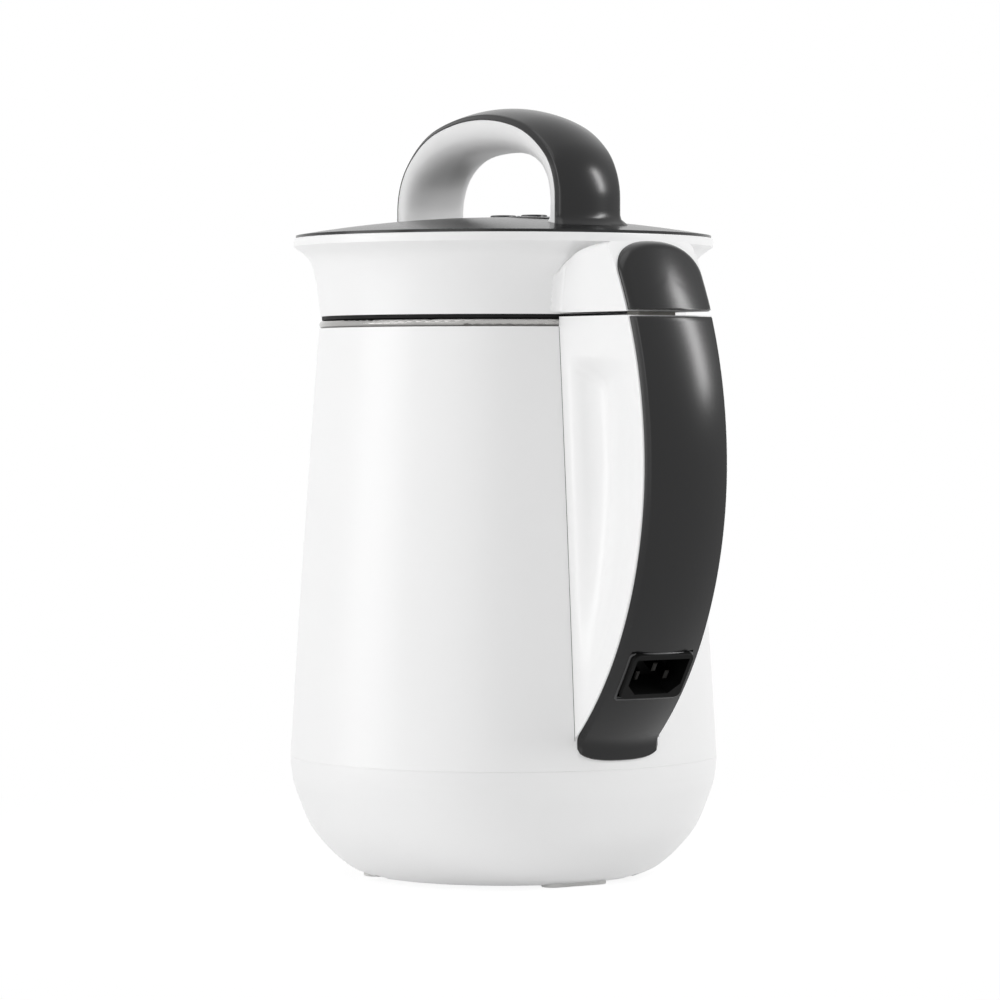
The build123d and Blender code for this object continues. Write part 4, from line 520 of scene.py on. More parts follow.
def along(points: Sequence[Point], steps: int) -> list[Point]:
    """Smooth line through points, sampled evenly between each pair.

    Args:
        points: Points that the line passes.
        steps: Samples between two points.

    Returns:
        The sampled line.
    """
    padded = [points[0], *points, points[-1]]
    line: list[Point] = []
    for i in range(1, len(padded) - 2):
        a, b, c, d = (Vector(padded[j]) for j in range(i - 1, i + 3))
        line += [tuple(0.5 * (2 * b + (c - a) * t + (2 * a - 5 * b + 4 * c - d) * t ** 2
                              + (3 * b - a - 3 * c + d) * t ** 3)) for t in spaced(0, 1, steps)[:-1]]
    return line + [tuple(points[-1])]


def evenly(line: Sequence[Point], steps: int) -> list[Point]:
    """Samples a line at even distances.

    Args:
        line: Points of the line.
        steps: Number of spaces between samples.

    Returns:
        The samples, one more than the spaces.
    """
    spots = [Vector(point) for point in line]
    runs = [(b - a).length for a, b in zip(spots, spots[1:])]
    total, samples, leg, passed = sum(runs), [tuple(spots[0])], 0, 0.0
    for i in range(1, steps):
        goal = total * i / steps
        while leg < len(runs) - 1 and passed + runs[leg] < goal:
            passed += runs[leg]
            leg += 1
        share = (goal - passed) / max(runs[leg], TINY)
        samples.append(tuple(spots[leg].lerp(spots[leg + 1], share)))
    return samples + [tuple(spots[-1])]


def read_line(line: Sequence[Point], at: float) -> float:
    """Reads a line's second coordinate at a first one, held level past its ends.

    Args:
        line: Points of the line, the first coordinate rising.
        at: First coordinate.

    Returns:
        Second coordinate there.
    """
    if at <= line[0][0]:
        return line[0][1]
    for (a, low), (b, high) in zip(line, line[1:]):
        if at <= b:
            return low + (high - low) * (at - a) / max(b - a, TINY)
    return line[-1][1]


def soft_min(a: float, b: float, blend: float) -> float:
    """The smaller of two values, with a rounded change from one to the other."""
    near = max(blend - abs(a - b), 0.0) / blend
    return min(a, b) - near * near * blend / 4


def soft_max(a: float, b: float, blend: float) -> float:
    """The larger of two values, with a rounded change from one to the other."""
    return -soft_min(-a, -b, blend)


def hollow_fillet(distance: float, radius: float) -> float:
    """Height that a hollow fillet adds at a distance from the surface that it runs up to."""
    step = radius - min(max(distance, 0.0), radius)
    return radius - math.sqrt(max(radius * radius - step * step, 0.0))


# Mesh tools


def lofted(rings: Sequence[Ring], caps: bool = True) -> Skin:
    """Joins closed rings of equal length into one skin.

    Args:
        rings: Rings of points in millimetres.
        caps: Whether the first and last rings are filled.

    Returns:
        All points and all faces.
    """
    count = len(rings[0])
    points = [point for ring in rings for point in ring]
    faces: list[list[int]] = []
    for row in range(0, (len(rings) - 1) * count, count):
        for i in range(count):
            a, b = row + i, row + (i + 1) % count
            faces.append([a, b, b + count, a + count])
    if caps:
        faces += [list(range(count)), list(range((len(rings) - 1) * count, len(rings) * count))]
    return points, faces


def turned(outline: Sequence[Point], steps: int = 192) -> Skin:
    """Turns a closed outline of radii and heights, none of them on the axis, about the jug's axis."""
    turns = [2 * math.pi * i / steps for i in range(steps)]
    rings = [[(r * math.cos(turn), r * math.sin(turn), z) for r, z in outline] for turn in turns]
    return lofted([*rings, rings[0]], caps=False)


def face_out(mesh: bpy.types.Mesh, weld: float = 0.0) -> None:
    """Turns a mesh's faces outwards.

    Args:
        mesh: The mesh.
        weld: Distance in millimetres below which points are joined first, or nothing.
    """
    shape = bmesh.new()
    shape.from_mesh(mesh)
    if weld:
        bmesh.ops.remove_doubles(shape, verts=shape.verts, dist=weld * MM)
    bmesh.ops.recalc_face_normals(shape, faces=shape.faces)
    shape.to_mesh(mesh)
    shape.free()


def shade(mesh: bpy.types.Mesh, sharp: float) -> None:
    """Shades a mesh smooth up to an angle in degrees."""
    mesh.polygons.foreach_set("use_smooth", [True] * len(mesh.polygons))
    mesh.set_sharp_from_angle(angle=math.radians(sharp))


def linked(name: str, mesh: bpy.types.Mesh) -> bpy.types.Object:
    """Puts a mesh into the scene as an object."""
    piece = bpy.data.objects.new(name, mesh)
    bpy.context.collection.objects.link(piece)
    return piece


def mesh_piece(name: str, skin: Skin, finish: Finish, sharp: float) -> bpy.types.Object:
    """Makes an object from a skin.

    Args:
        name: Name of the piece.
        skin: Points in millimetres, and faces as lists of their numbers.
        finish: Finish that it gets.
        sharp: Angle in degrees past which an edge is shaded sharp.

    Returns:
        The linked object, its faces pointing outwards.
    """
    mesh = bpy.data.meshes.new(name)
    mesh.from_pydata([tuple(c * MM for c in point) for point in skin[0]], [], skin[1])
    face_out(mesh, weld=WELD)
    shade(mesh, sharp)
    mesh.materials.append(WARDROBE.get(finish))
    return linked(name, mesh)


def applied(piece: bpy.types.Object) -> None:
    """Turns a piece and its modifiers into one plain mesh."""
    plain = bpy.data.meshes.new_from_object(piece.evaluated_get(bpy.context.evaluated_depsgraph_get()))
    piece.modifiers.clear()
    piece.data = plain


def pierce(piece: bpy.types.Object, shape: bmesh.types.BMesh) -> None:
    """Takes a cutting shape out of a piece.

    Args:
        piece: Piece that is cut.
        shape: Cutting shape in metres, which is used up.
    """
    mesh = bpy.data.meshes.new("cutter")
    shape.to_mesh(mesh)
    shape.free()
    cutter = linked("cutter", mesh)
    change = piece.modifiers.new("cut", "BOOLEAN")
    change.operation, change.object, change.solver = "DIFFERENCE", cutter, "EXACT"
    applied(piece)
    bpy.data.objects.remove(cutter)


def cut(piece: bpy.types.Object, *boxes: tuple[Matrix, Spot]) -> None:
    """Cuts boxes out of a piece.

    Args:
        piece: Piece that is cut.
        boxes: Placement in millimetres and full size of each box.
    """
    shape = bmesh.new()
    for place, size in boxes:
        made = bmesh.ops.create_cube(shape, size=1.0)
        scale = Matrix.Diagonal((*size, 1.0))
        bmesh.ops.transform(shape, matrix=Matrix.Scale(MM, 4) @ place @ scale, verts=made["verts"])
    pierce(piece, shape)


def drill(piece: bpy.types.Object, spots: Sequence[Spot], radius: float, depth: float, steps: int) -> None:
    """Drills upright holes into a piece.

    Args:
        piece: Piece that is drilled.
        spots: Middle of each hole in millimetres.
        radius: Radius of the holes in millimetres.
        depth: Length of the holes in millimetres.
        steps: Sides of a hole.
    """
    shape = bmesh.new()
    for spot in spots:
        bmesh.ops.create_cone(shape, cap_ends=True, segments=steps, radius1=radius * MM, radius2=radius * MM,
                              depth=depth * MM, matrix=Matrix.Translation([c * MM for c in spot]))
    pierce(piece, shape)


def grown(name: str, spots: Sequence[Spot], links: Sequence[tuple[int, int]], tree: bpy.types.NodeTree,
          sizes: dict[str, float]) -> bpy.types.Object:
    """Lets a geometry tree grow a piece on a wire of points, and returns it as a plain mesh.

    Args:
        name: Name of the piece.
        spots: Points in millimetres.
        links: Pairs of points that the wire joins.
        tree: The geometry tree.
        sizes: Value of each named input in millimetres.

    Returns:
        The finished piece, its faces pointing outwards.
    """
    mesh = bpy.data.meshes.new(name)
    mesh.from_pydata([tuple(c * MM for c in spot) for spot in spots], links, [])
    piece = linked(name, mesh)
    change = piece.modifiers.new("grown", "NODES")
    change.node_group = tree
    for socket in tree.interface.items_tree:
        if socket.name in sizes:
            change[socket.identifier] = sizes[socket.name] * MM
    applied(piece)
    face_out(piece.data)
    return piece


def open_tree(name: str, sizes: Sequence[str]) -> tuple[bpy.types.NodeTree, bpy.types.Node]:
    """Starts a geometry tree with named size inputs.

    Args:
        name: Name of the tree.
        sizes: Names of its inputs.

    Returns:
        The tree and its input node.
    """
    tree = bpy.data.node_groups.new(name, "GeometryNodeTree")
    tree.interface.new_socket("Geometry", in_out="INPUT", socket_type="NodeSocketGeometry")
    for size in sizes:
        tree.interface.new_socket(size, in_out="INPUT", socket_type="NodeSocketFloat")
    tree.interface.new_socket("Geometry", in_out="OUTPUT", socket_type="NodeSocketGeometry")
    return tree, add_node(tree, "NodeGroupInput")


def close_tree(tree: bpy.types.NodeTree, shape: Socket, finish: Finish) -> None:
    """Ends a geometry tree with real faces, smooth shading and its material.

    Args:
        tree: The geometry tree.
        shape: Geometry that it has made.
        finish: Finish that it gets.
    """
    for kind, inputs in (("GeometryNodeRealizeInstances", {}), ("GeometryNodeSetShadeSmooth", {}),
                         ("GeometryNodeSetMaterial", {"Material": WARDROBE.get(finish)})):
        shape = add_node(tree, kind, {"Geometry": shape, **inputs}).outputs["Geometry"]
    add_node(tree, "NodeGroupOutput", {"Geometry": shape})


def cord(name: str, paths: Sequence[Ring], radius: float, finish: Finish,
         closed: bool = False) -> bpy.types.Object:
    """Lays a round cord along paths.

    Args:
        name: Name of the piece.
        paths: Points of each path in millimetres.
        radius: Radius of the cord in millimetres.
        finish: Finish that it gets.
        closed: Whether each path runs back to its start.

    Returns:
        The finished piece.
    """
    tree, given = open_tree(name + "_tree", ("Cord Radius",))
    line = add_node(tree, "GeometryNodeMeshToCurve", {"Mesh": given.outputs["Geometry"]})
    profile = add_node(tree, "GeometryNodeCurvePrimitiveCircle", {
        "Resolution": 12, "Radius": given.outputs["Cord Radius"]})
    skin = add_node(tree, "GeometryNodeCurveToMesh", {
        "Curve": line.outputs["Curve"], "Profile Curve": profile.outputs["Curve"], "Fill Caps": True})
    close_tree(tree, skin.outputs["Mesh"], finish)
    spots: Ring = []
    links: list[tuple[int, int]] = []
    for path in paths:
        first = len(spots)
        spots += path
        links += [(i - 1, i) for i in range(first + 1, len(spots))]
        if closed:
            links.append((len(spots) - 1, first))
    return grown(name, spots, links, tree, {"Cord Radius": radius})


def lenses(name: str, spots: Ring, radius: float, rise: float, finish: Finish) -> bpy.types.Object:
    """Sets a shallow round lens on each point.

    Args:
        name: Name of the piece.
        spots: Places of the lenses in millimetres.
        radius: Radius of a lens in millimetres.
        rise: Height of a lens over its place in millimetres.
        finish: Finish that they get.

    Returns:
        The finished piece.
    """
    tree, given = open_tree(name + "_tree", ("Lens Radius", "Lens Rise"))
    ball = add_node(tree, "GeometryNodeMeshUVSphere", {"Segments": 24, "Rings": 12, "Radius": 1.0})
    wide = given.outputs["Lens Radius"]
    size = add_node(tree, "ShaderNodeCombineXYZ", {"X": wide, "Y": wide, "Z": given.outputs["Lens Rise"]})
    placed = add_node(tree, "GeometryNodeInstanceOnPoints", {
        "Points": given.outputs["Geometry"], "Instance": ball.outputs["Mesh"],
        "Scale": size.outputs["Vector"]})
    close_tree(tree, placed.outputs["Instances"], finish)
    return grown(name, spots, [], tree, {"Lens Radius": radius, "Lens Rise": rise})


def stand(piece: bpy.types.Object, body: str, slot: str, *nodes: str) -> None:
    """Fixes a finished piece to its body in place of CAD nodes, and reports it.

    Args:
        piece: The finished piece.
        body: Body that it moves with.
        slot: Material slot of the record; not used.
        nodes: CAD nodes that it stands for.
    """
    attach(piece, body)
    if nodes:
        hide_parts(*nodes)
    LOG.info("%s rides on %s for %s, %d faces", piece.name, body, ", ".join(nodes) or "itself",
             len(piece.data.polygons))


# Lines of the object


@dataclass(frozen=True)
class JugLines:
    """The jug's outer wall, the handle's outer line and the head's ring, in millimetres."""

    seam_z: float = 50.5
    seam_radius: float = 89.8
    top_z: float = 229.3
    top_radius: float = 77.6
    bulge: float = 0.4
    bow_x: float = 135.4
    bow_z: float = 174.0
    upper_bow: float = 165.0
    lower_bow: float = 149.0
    web_half: float = 20.3
    rim_radius: float = 88.1
    head_bottom_z: float = 234.3
    head_rim_z: float = 267.0
    rim_band: float = 3.5
    head_shares: tuple[Point, ...] = ((1.0, 0.0), (0.933, 0.155), (0.904, 0.36), (0.887, 0.66), (0.873, 1.0))
    head_steps: int = 8

    def body(self, z: float) -> float:
        """Outer radius of the wall at a height."""
        share = (z - self.seam_z) / (self.top_z - self.seam_z)
        straight = self.seam_radius + (self.top_radius - self.seam_radius) * share
        return straight + 4 * self.bulge * share * (1 - share)

    def wall(self, y: float, z: float) -> float:
        """Distance of the wall from the axis at a place across it, level below the seam."""
        return math.sqrt(self.body(max(z, self.seam_z)) ** 2 - y ** 2)

    def bow(self, z: float, out: float = 0.0) -> float:
        """Distance of the handle's outer line from the axis at a height, moved out."""
        radius = self.upper_bow if z > self.bow_z else self.lower_bow
        return self.bow_x - radius + math.sqrt(max((radius + out) ** 2 - (z - self.bow_z) ** 2, 0.0))

    def crease(self, z: float) -> float:
        """Distance from the axis at which the handle's sides meet the wall."""
        return math.sqrt(self.body(z) ** 2 - self.web_half ** 2)

    def ring_outline(self) -> list[Point]:
        """Outer line of the head's ring, from its lower edge up to its rim band."""
        top = self.head_rim_z - self.rim_band
        height = top - self.head_bottom_z
        points = [(self.rim_radius * r, top - height * drop) for r, drop in reversed(self.head_shares)]
        return along(points, self.head_steps)

    def ring(self, z: float) -> float:
        """Outer radius of the head's ring at a height."""
        return read_line([(height, radius) for radius, height in self.ring_outline()], z)


@dataclass(frozen=True)
class Deck:
    """Shallow dome on top of the head, in millimetres."""

    edge_radius: float = 87.3
    edge_z: float = 268.2
    crown: float = 7.6

    def height(self, x: float, y: float = 0.0) -> float:
        """Height of the dome at a place."""
        sphere = (self.edge_radius ** 2 + self.crown ** 2) / (2 * self.crown)
        return self.edge_z + self.crown - sphere + math.sqrt(max(sphere ** 2 - math.hypot(x, y) ** 2, 0.0))


@dataclass(frozen=True)
class Crown:
    """Crowned face of a dark moulding with a lip at each side, in millimetres over what it covers."""

    half: float
    rise: float
    lip_in: float
    foot: tuple[Point, ...]
    lip: tuple[Point, ...]
    steps: int
    top: float = 5.0
    under: float = -0.3

    def lip_y(self) -> float:
        """Place across at which the crown meets the lip."""
        return self.half - self.lip_in

    def lift(self, y: float) -> float:
        """Height of the crown at a place across."""
        return self.top - (self.top - self.rise) * (y / self.lip_y()) ** 2

    def section(self) -> list[Point]:
        """Section of the moulding.

        Returns:
            Place across and height of each point, from one lip round to the other.
        """
        edge = [(-self.half, self.under)] + [(-self.half + y, height) for y, height in self.foot]
        edge += [(-self.lip_y() + y, self.rise + height) for y, height in self.lip]
        middle = [(y, self.lift(y)) for y in spaced(-self.lip_y(), self.lip_y(), self.steps)]
        return edge + middle + [(-y, height) for y, height in reversed(edge)]


LINES = JugLines()
DECK = Deck()
STRIP_CROWN = Crown(19.5, 2.6, 1.5, ((0.0, 0.0), (0.06, 0.35)), ((-0.35, -0.75), (-0.12, -0.22)), 40)
CARRY_CROWN = Crown(15.8, 1.9, 1.3, ((0.0, 0.0), (0.05, 0.3)), ((-0.25, -0.7), (-0.08, -0.2)), 32)


# Sub-assemblies


@dataclass
class SubAssembly:
    """A group of pieces: the CAD nodes that it only dresses."""

    dressed: dict[str, Finish] = field(default_factory=dict)

    def build(self) -> None:
        """Dresses the nodes that keep their CAD shape."""
        for node, finish in self.dressed.items():
            dress(node, finish)


@dataclass
class Jug(SubAssembly):
    """White body, steel pot, heater and base."""

    dressed: dict[str, Finish] = field(default_factory=lambda: {
        "outer_shell": Finish.WHITE_ABS,
        "bottom_cover": Finish.WHITE_ABS,
        "foot_pads": Finish.FOOT_RUBBER,
        "base_screws": Finish.SCREW_ZINC,
        "inner_pot": Finish.POT_STEEL,
        "pot_gasket": Finish.SILICONE,
        "pot_nuts": Finish.SCREW_ZINC,
        "heater_plate": Finish.PLATE_ALUMINIUM,
        "heater_tube": Finish.BRIGHT_STEEL,
        "thermostat": Finish.PHENOLIC,
        "thermal_fuse": Finish.BRASS,
        "handle_lead": Finish.JACKET,
        "heater_lead": Finish.JACKET,
        "handle_screws": Finish.SCREW_ZINC,
    })
    bowl_outer: tuple[Point, ...] = (
        (89.8, 50.1), (89.68, 47.0), (89.3, 43.5), (87.9, 37.0), (82.0, 22.0), (74.3, 11.8), (65.9, 4.4),
        (59.0, 1.2))
    bowl_ledge: tuple[Point, ...] = (
        (47.2, 1.2), (46.3, 1.6), (45.8, 2.5), (44.2, 2.5), (44.2, 4.5), (41.7, 4.5), (41.7, 7.0),
        (46.7, 7.0), (46.7, 5.0))
    bowl_inner: tuple[Point, ...] = ((58.0, 5.0), (64.9, 7.9), (72.6, 14.1), (79.3, 24.2), (84.6, 36.5))
    bowl_collar: tuple[Point, ...] = ((85.1, 40.5), (85.1, 55.5), (86.7, 55.5), (86.7, 50.1))
    post_ring: float = 58.0
    post_angles: tuple[float, ...] = (30.0, 150.0, 270.0)
    post_line: tuple[Point, ...] = (
        (6.1, 4.2), (6.1, 39.9), (2.15, 39.9), (2.15, 37.4), (4.05, 37.4), (4.05, 4.2))
    outer_steps: int = 10
    inner_steps: int = 8
    post_steps: int = 32
    bead_steps: int = 240
    level_steps: int = 48
    sharp: float = 30.0
    well_length: float = 14.0
    bead_ring: float = 89.5
    bead_z: float = 50.28
    bead_radius: float = 0.26
    level_heights: tuple[float, ...] = (150.0, 182.0)
    level_angle: float = 180.0
    level_half: float = 24.0
    level_radius: float = 0.45
    pot_foot: float = 66.2
    pot_top: float = 70.7
    pot_low_z: float = 66.2
    pot_tall: float = 157.8

    def bowl(self) -> None:
        """Turns the white base bowl, full at the shoulder, and sinks its screw wells."""
        outline = [*along(self.bowl_outer, self.outer_steps), *self.bowl_ledge,
                   *along(self.bowl_inner, self.inner_steps), *self.bowl_collar]
        piece = mesh_piece("base_shell", turned(outline), Finish.WHITE_ABS, self.sharp)
        turns = [math.radians(angle) for angle in self.post_angles]
        spots = [(self.post_ring * math.cos(turn), self.post_ring * math.sin(turn), 0.0) for turn in turns]
        drill(piece, spots, self.post_line[-1][0], self.well_length, self.post_steps)
        piece.data.set_sharp_from_angle(angle=math.radians(self.sharp))
        stand(piece, "jug", "white_plastic", "base_bowl")
        posts: Ring = []
        sides: list[list[int]] = []
        for x, y, _ in spots:
            ring, faces = turned(self.post_line, self.post_steps)
            sides += [[corner + len(posts) for corner in face] for face in faces]
            posts += [(x + px, y + py, z) for px, py, z in ring]
        stand(mesh_piece("bowl_posts", (posts, sides), Finish.WHITE_ABS, self.sharp), "jug", "white_plastic")

    def seam(self) -> None:
        """Lays a white bead in the groove between body and base."""
        ring = circle(self.bead_ring, self.bead_z, self.bead_steps)
        piece = cord("seam_bead", [ring], self.bead_radius, Finish.WHITE_ABS, closed=True)
        stand(piece, "jug", "white_plastic")

    def levels(self) -> None:
        """Raises the two fill lines on the pot's inner wall."""
        middle, half = self.level_angle, self.level_half
        turns = [math.radians(angle) for angle in spaced(middle - half, middle + half, self.level_steps)]
        paths: list[Ring] = []
        for z in self.level_heights:
            radius = self.pot_foot + (self.pot_top - self.pot_foot) * (z - self.pot_low_z) / self.pot_tall
            paths.append([(radius * math.cos(turn), radius * math.sin(turn), z) for turn in turns])
        stand(cord("level_lines", paths, self.level_radius, Finish.POT_STEEL), "jug", "pot_steel")

    def build(self) -> None:
        """Dresses the CAD nodes and adds the bowl, the seam's bead and the fill lines."""
        super().build()
        self.bowl()
        self.seam()
        self.levels()


@dataclass
class JugHandle(SubAssembly):
    """White handle with scooped finger pockets, its dark strip, mains inlet and coupler."""

    dressed: dict[str, Finish] = field(default_factory=lambda: {
        "mains_inlet": Finish.INLET_NYLON,
        "inlet_pins": Finish.PIN_NICKEL,
        "jug_coupler": Finish.PALE_NYLON,
    })
    crown: Crown = STRIP_CROWN
    low_z: float = 62.0
    top_z: float = 233.2
    neck: float = 77.9
    root_in: float = 0.4
    root_least: float = 2.0
    root_spots: tuple[float, ...] = (10.0, 0.0, -10.0)
    face_spots: tuple[float, ...] = (-12.0, -4.0, 4.0, 12.0)
    edge_round: float = 0.6
    side_steps: int = 90
    edge_steps: int = 3
    shell_sharp: float = 40.0
    step: float = 1.5
    fine_step: float = 0.7
    fine_top: float = 9.0
    fine_toe: float = 7.0
    flange: float = 6.9
    rim: float = 9.7
    rim_slope: float = 0.5
    pocket_top_z: float = 215.5
    pocket_toe_z: float = 78.0
    pocket_depth: float = 15.5
    scoop_reach: float = 39.0
    scoop_power: float = 1.35
    wall_slope: float = 1.35
    top_slope: float = 1.7
    toe_slope: float = 0.55
    blend: float = 11.0
    edge_blend: float = 0.35
    coupler_x: float = 111.0
    coupler_drop: float = 9.0
    coupler_seat: Spot = (14.4, 23.4, 22.0)
    inlet_z: float = 89.7
    inlet_seat: Spot = (40.0, 27.4, 19.4)
    inlet_hole: Spot = (24.0, 29.4, 21.9)
    trim_half: Point = (14.75, 11.0)
    trim_corner: float = 1.8
    trim_radius: float = 0.55
    trim_in: float = 0.1
    trim_steps: int = 6
    crease_radius: float = 0.13
    crease_in: float = 0.05
    crease_out: float = 0.02
    crease_low: float = 12.0
    crease_high: float = 0.2
    crease_steps: int = 80
    strip_top_z: float = 232.7
    strip_ends: tuple[Point, ...] = ((0.0, 0.35), (0.25, 0.1))
    strip_start: float = 0.6
    strip_rows: int = 96
    strip_sharp: Point = (50.0, 30.0)
    toe_thick: float = 1.0
    toe_foot_z: float = 54.5
    toe_round: float = 6.0
    toe_power: float = 2.6
    toe_blend_z: float = 84.0
    toe_soft: float = 3.0
    toe_sink: float = 0.3
    toe_curl: float = 0.35
    toe_rows: Sequence[int] = (48, 3)

    def depth(self, x: float, z: float) -> float:
        """Depth of the finger pocket at a place on the handle's side.

        Args:
            x: Distance from the axis.
            z: Height.

        Returns:
            Depth of the pocket below the side.
        """
        from_rim = LINES.bow(z, -self.rim) - x
        slopes = ((self.wall_slope, x - LINES.crease(z) - self.flange),
                  (self.top_slope, self.pocket_top_z - z), (self.toe_slope, z - self.pocket_toe_z))
        if min(from_rim, *(way for _, way in slopes)) < -self.blend:
            return 0.0
        reach = min(max(from_rim / self.scoop_reach, 0.0), 1.0)
        depth = self.pocket_depth * reach ** self.scoop_power if from_rim > 0 else self.rim_slope * from_rim
        for slope, way in slopes:
            depth = soft_min(depth, slope * way, self.blend)
        return max(soft_max(depth, 0.0, self.edge_blend * self.blend), 0.0)

    def root(self, y: float, z: float) -> float:
        """Distance from the axis at which the handle starts, just inside the jug's wall."""
        wall = LINES.body(z) if z <= LINES.top_z else self.neck
        return min(math.sqrt(wall ** 2 - y ** 2) - self.root_in, LINES.bow(z) - self.root_least)

    def section(self, z: float) -> Ring:
        """Level section of the handle, starting and ending inside the jug's wall.

        Args:
            z: Height of the section.

        Returns:
            Points round the section.
        """
        bow, half, edge = LINES.bow(z), LINES.web_half, self.edge_round
        side = [(x, half - self.depth(x, z)) for x in spaced(self.root(half, z), bow - edge, self.side_steps)]
        side += [(bow - edge * (1 - math.sin(turn)), half - edge * (1 - math.cos(turn)))
                 for turn in spaced(0.0, math.pi / 2, self.edge_steps)[1:]]
        left = [(x, -y, z) for x, y in side]
        right = [(x, y, z) for x, y in reversed(side)]
        face = [(bow, y, z) for y in self.face_spots]
        return left + face + right + [(self.root(y, z), y, z) for y in self.root_spots]

    def levels(self) -> list[float]:
        """Heights of the handle's sections, closer together at the pocket's ends.

        Returns:
            The heights, from the lowest up.
        """
        heights, z = [], self.low_z
        while z < self.top_z:
            heights.append(z)
            fine = abs(z - self.pocket_top_z) < self.fine_top or abs(z - self.pocket_toe_z) < self.fine_toe
            z += self.fine_step if fine else self.step
        return heights + [self.top_z]

    def shell(self) -> None:
        """Lofts the white handle and cuts the seats of the inlet and the coupler."""
        skin = lofted([self.section(z) for z in self.levels()])
        piece = mesh_piece("handle_grip", skin, Finish.WHITE_ABS, self.shell_sharp)
        coupler = Matrix.Translation((self.coupler_x, 0.0, self.top_z - self.coupler_drop))
        cut(piece, (coupler, self.coupler_seat), (self.inlet_place(), self.inlet_seat))
        shade(piece.data, self.shell_sharp)
        stand(piece, "jug", "white_plastic", "handle_shell")

    def inlet_place(self) -> Matrix:
        """Places the mains inlet on the strip.

        Returns:
            Place and tilt, with X out of the strip and Y across it.
        """
        drop = self.inlet_z - LINES.bow_z
        run = math.sqrt((LINES.lower_bow + self.crown.top) ** 2 - drop ** 2)
        place = Matrix.Translation((LINES.bow_x - LINES.lower_bow + run, 0.0, self.inlet_z))
        return place @ Matrix.Rotation(math.atan2(-drop, run), 4, "Y")

    def toe_spot(self, y: float, out: float, share: float, sink: float) -> Spot:
        """Point on the strip's foot, which blends into the toe that lies on the body.

        Args:
            y: Place across the strip.
            out: Height over the handle.
            share: Share of the way down to the toe's rounded end.
            sink: Share of the way from the toe's face back into the body.

        Returns:
            The point.
        """
        side = min(abs(y) / self.crown.half, 1.0) ** self.toe_power
        bottom = self.toe_foot_z + self.toe_round * (1 - (1 - side) ** (1 / self.toe_power))
        z = self.toe_blend_z - (self.toe_blend_z - bottom) * share
        wall, out = LINES.wall(y, z), max(out, 0.0)
        toe = wall + self.toe_thick * min(out / self.crown.rise, 1.0)
        x = soft_max(LINES.bow(z, out), toe, self.toe_soft)
        return (x + (wall - self.toe_sink - x) * sink, y, z - self.toe_curl * math.sin(math.pi * sink))

    def strip(self) -> None:
        """Lofts the dark strip down to its rounded toe."""
        section, top, under = self.crown.section(), self.strip_top_z, self.crown.under
        rows = [(top - drop, pull) for drop, pull in self.strip_ends]
        rows += [(z, 0.0) for z in spaced(top - self.strip_start, self.toe_blend_z, self.strip_rows)]
        rings = [[(LINES.bow(z, max(out - pull, under)), y, z) for y, out in section] for z, pull in rows]
        down, back = (spaced(0.0, 1.0, rows)[1:] for rows in self.toe_rows)
        feet = [(share, 0.0) for share in down] + [(1.0, sink) for sink in back]
        rings += [[self.toe_spot(y, out, share, sink) for y, out in section] for share, sink in feet]
        piece = mesh_piece("handle_cover", lofted(rings), Finish.DARK_PP, self.strip_sharp[0])
        cut(piece, (self.inlet_place(), self.inlet_hole))
        shade(piece.data, self.strip_sharp[1])
        stand(piece, "jug", "dark_plastic", "handle_strip")

    def crease_lines(self) -> None:
        """Lays a thin dark cord where the handle's sides meet the body: painted shade for the shadow in the
        joint gap.
        """
        heights = spaced(LINES.seam_z + self.crease_low, LINES.top_z - self.crease_high, self.crease_steps)
        half = LINES.web_half + self.crease_out
        paths = [[(LINES.crease(z) - self.crease_in, side * half, z) for z in heights] for side in (-1, 1)]
        stand(cord("crease_painted_shade", paths, self.crease_radius, Finish.SHADE_AND_HIGHLIGHT_GREY), "jug", "dark_plastic")

    def on_strip(self, y: float, z: float) -> Spot:
        """Point just under the strip's crowned face."""
        return (LINES.bow(z, self.crown.lift(y) - self.trim_in), y, z)

    def inlet_trim(self) -> None:
        """Lays the raised trim round the mains inlet, following the strip's crown; its grey, lighter than the
        strip, is painted highlight for the bezel's edge.
        """
        place = self.inlet_place()
        outline = round_box(*self.trim_half, self.trim_corner, self.trim_steps)
        path = [self.on_strip(y, (place @ Vector((0.0, y, v))).z) for y, v in outline]
        dense: Ring = []
        for a, b in zip(path, path[1:] + path[:1]):
            steps = max(int((Vector(b) - Vector(a)).length), 1)
            spots = zip(spaced(a[1], b[1], steps)[:-1], spaced(a[2], b[2], steps))
            dense += [self.on_strip(y, z) for y, z in spots]
        stand(cord("inlet_trim", [dense], self.trim_radius, Finish.SHADE_AND_HIGHLIGHT_GREY, closed=True), "jug", "dark_plastic")

    def build(self) -> None:
        """Dresses the small nodes and builds the handle, its strip, the painted shade line at the joint and
        the inlet's trim.
        """
        super().build()
        self.shell()
        self.strip()
        self.crease_lines()
        self.inlet_trim()


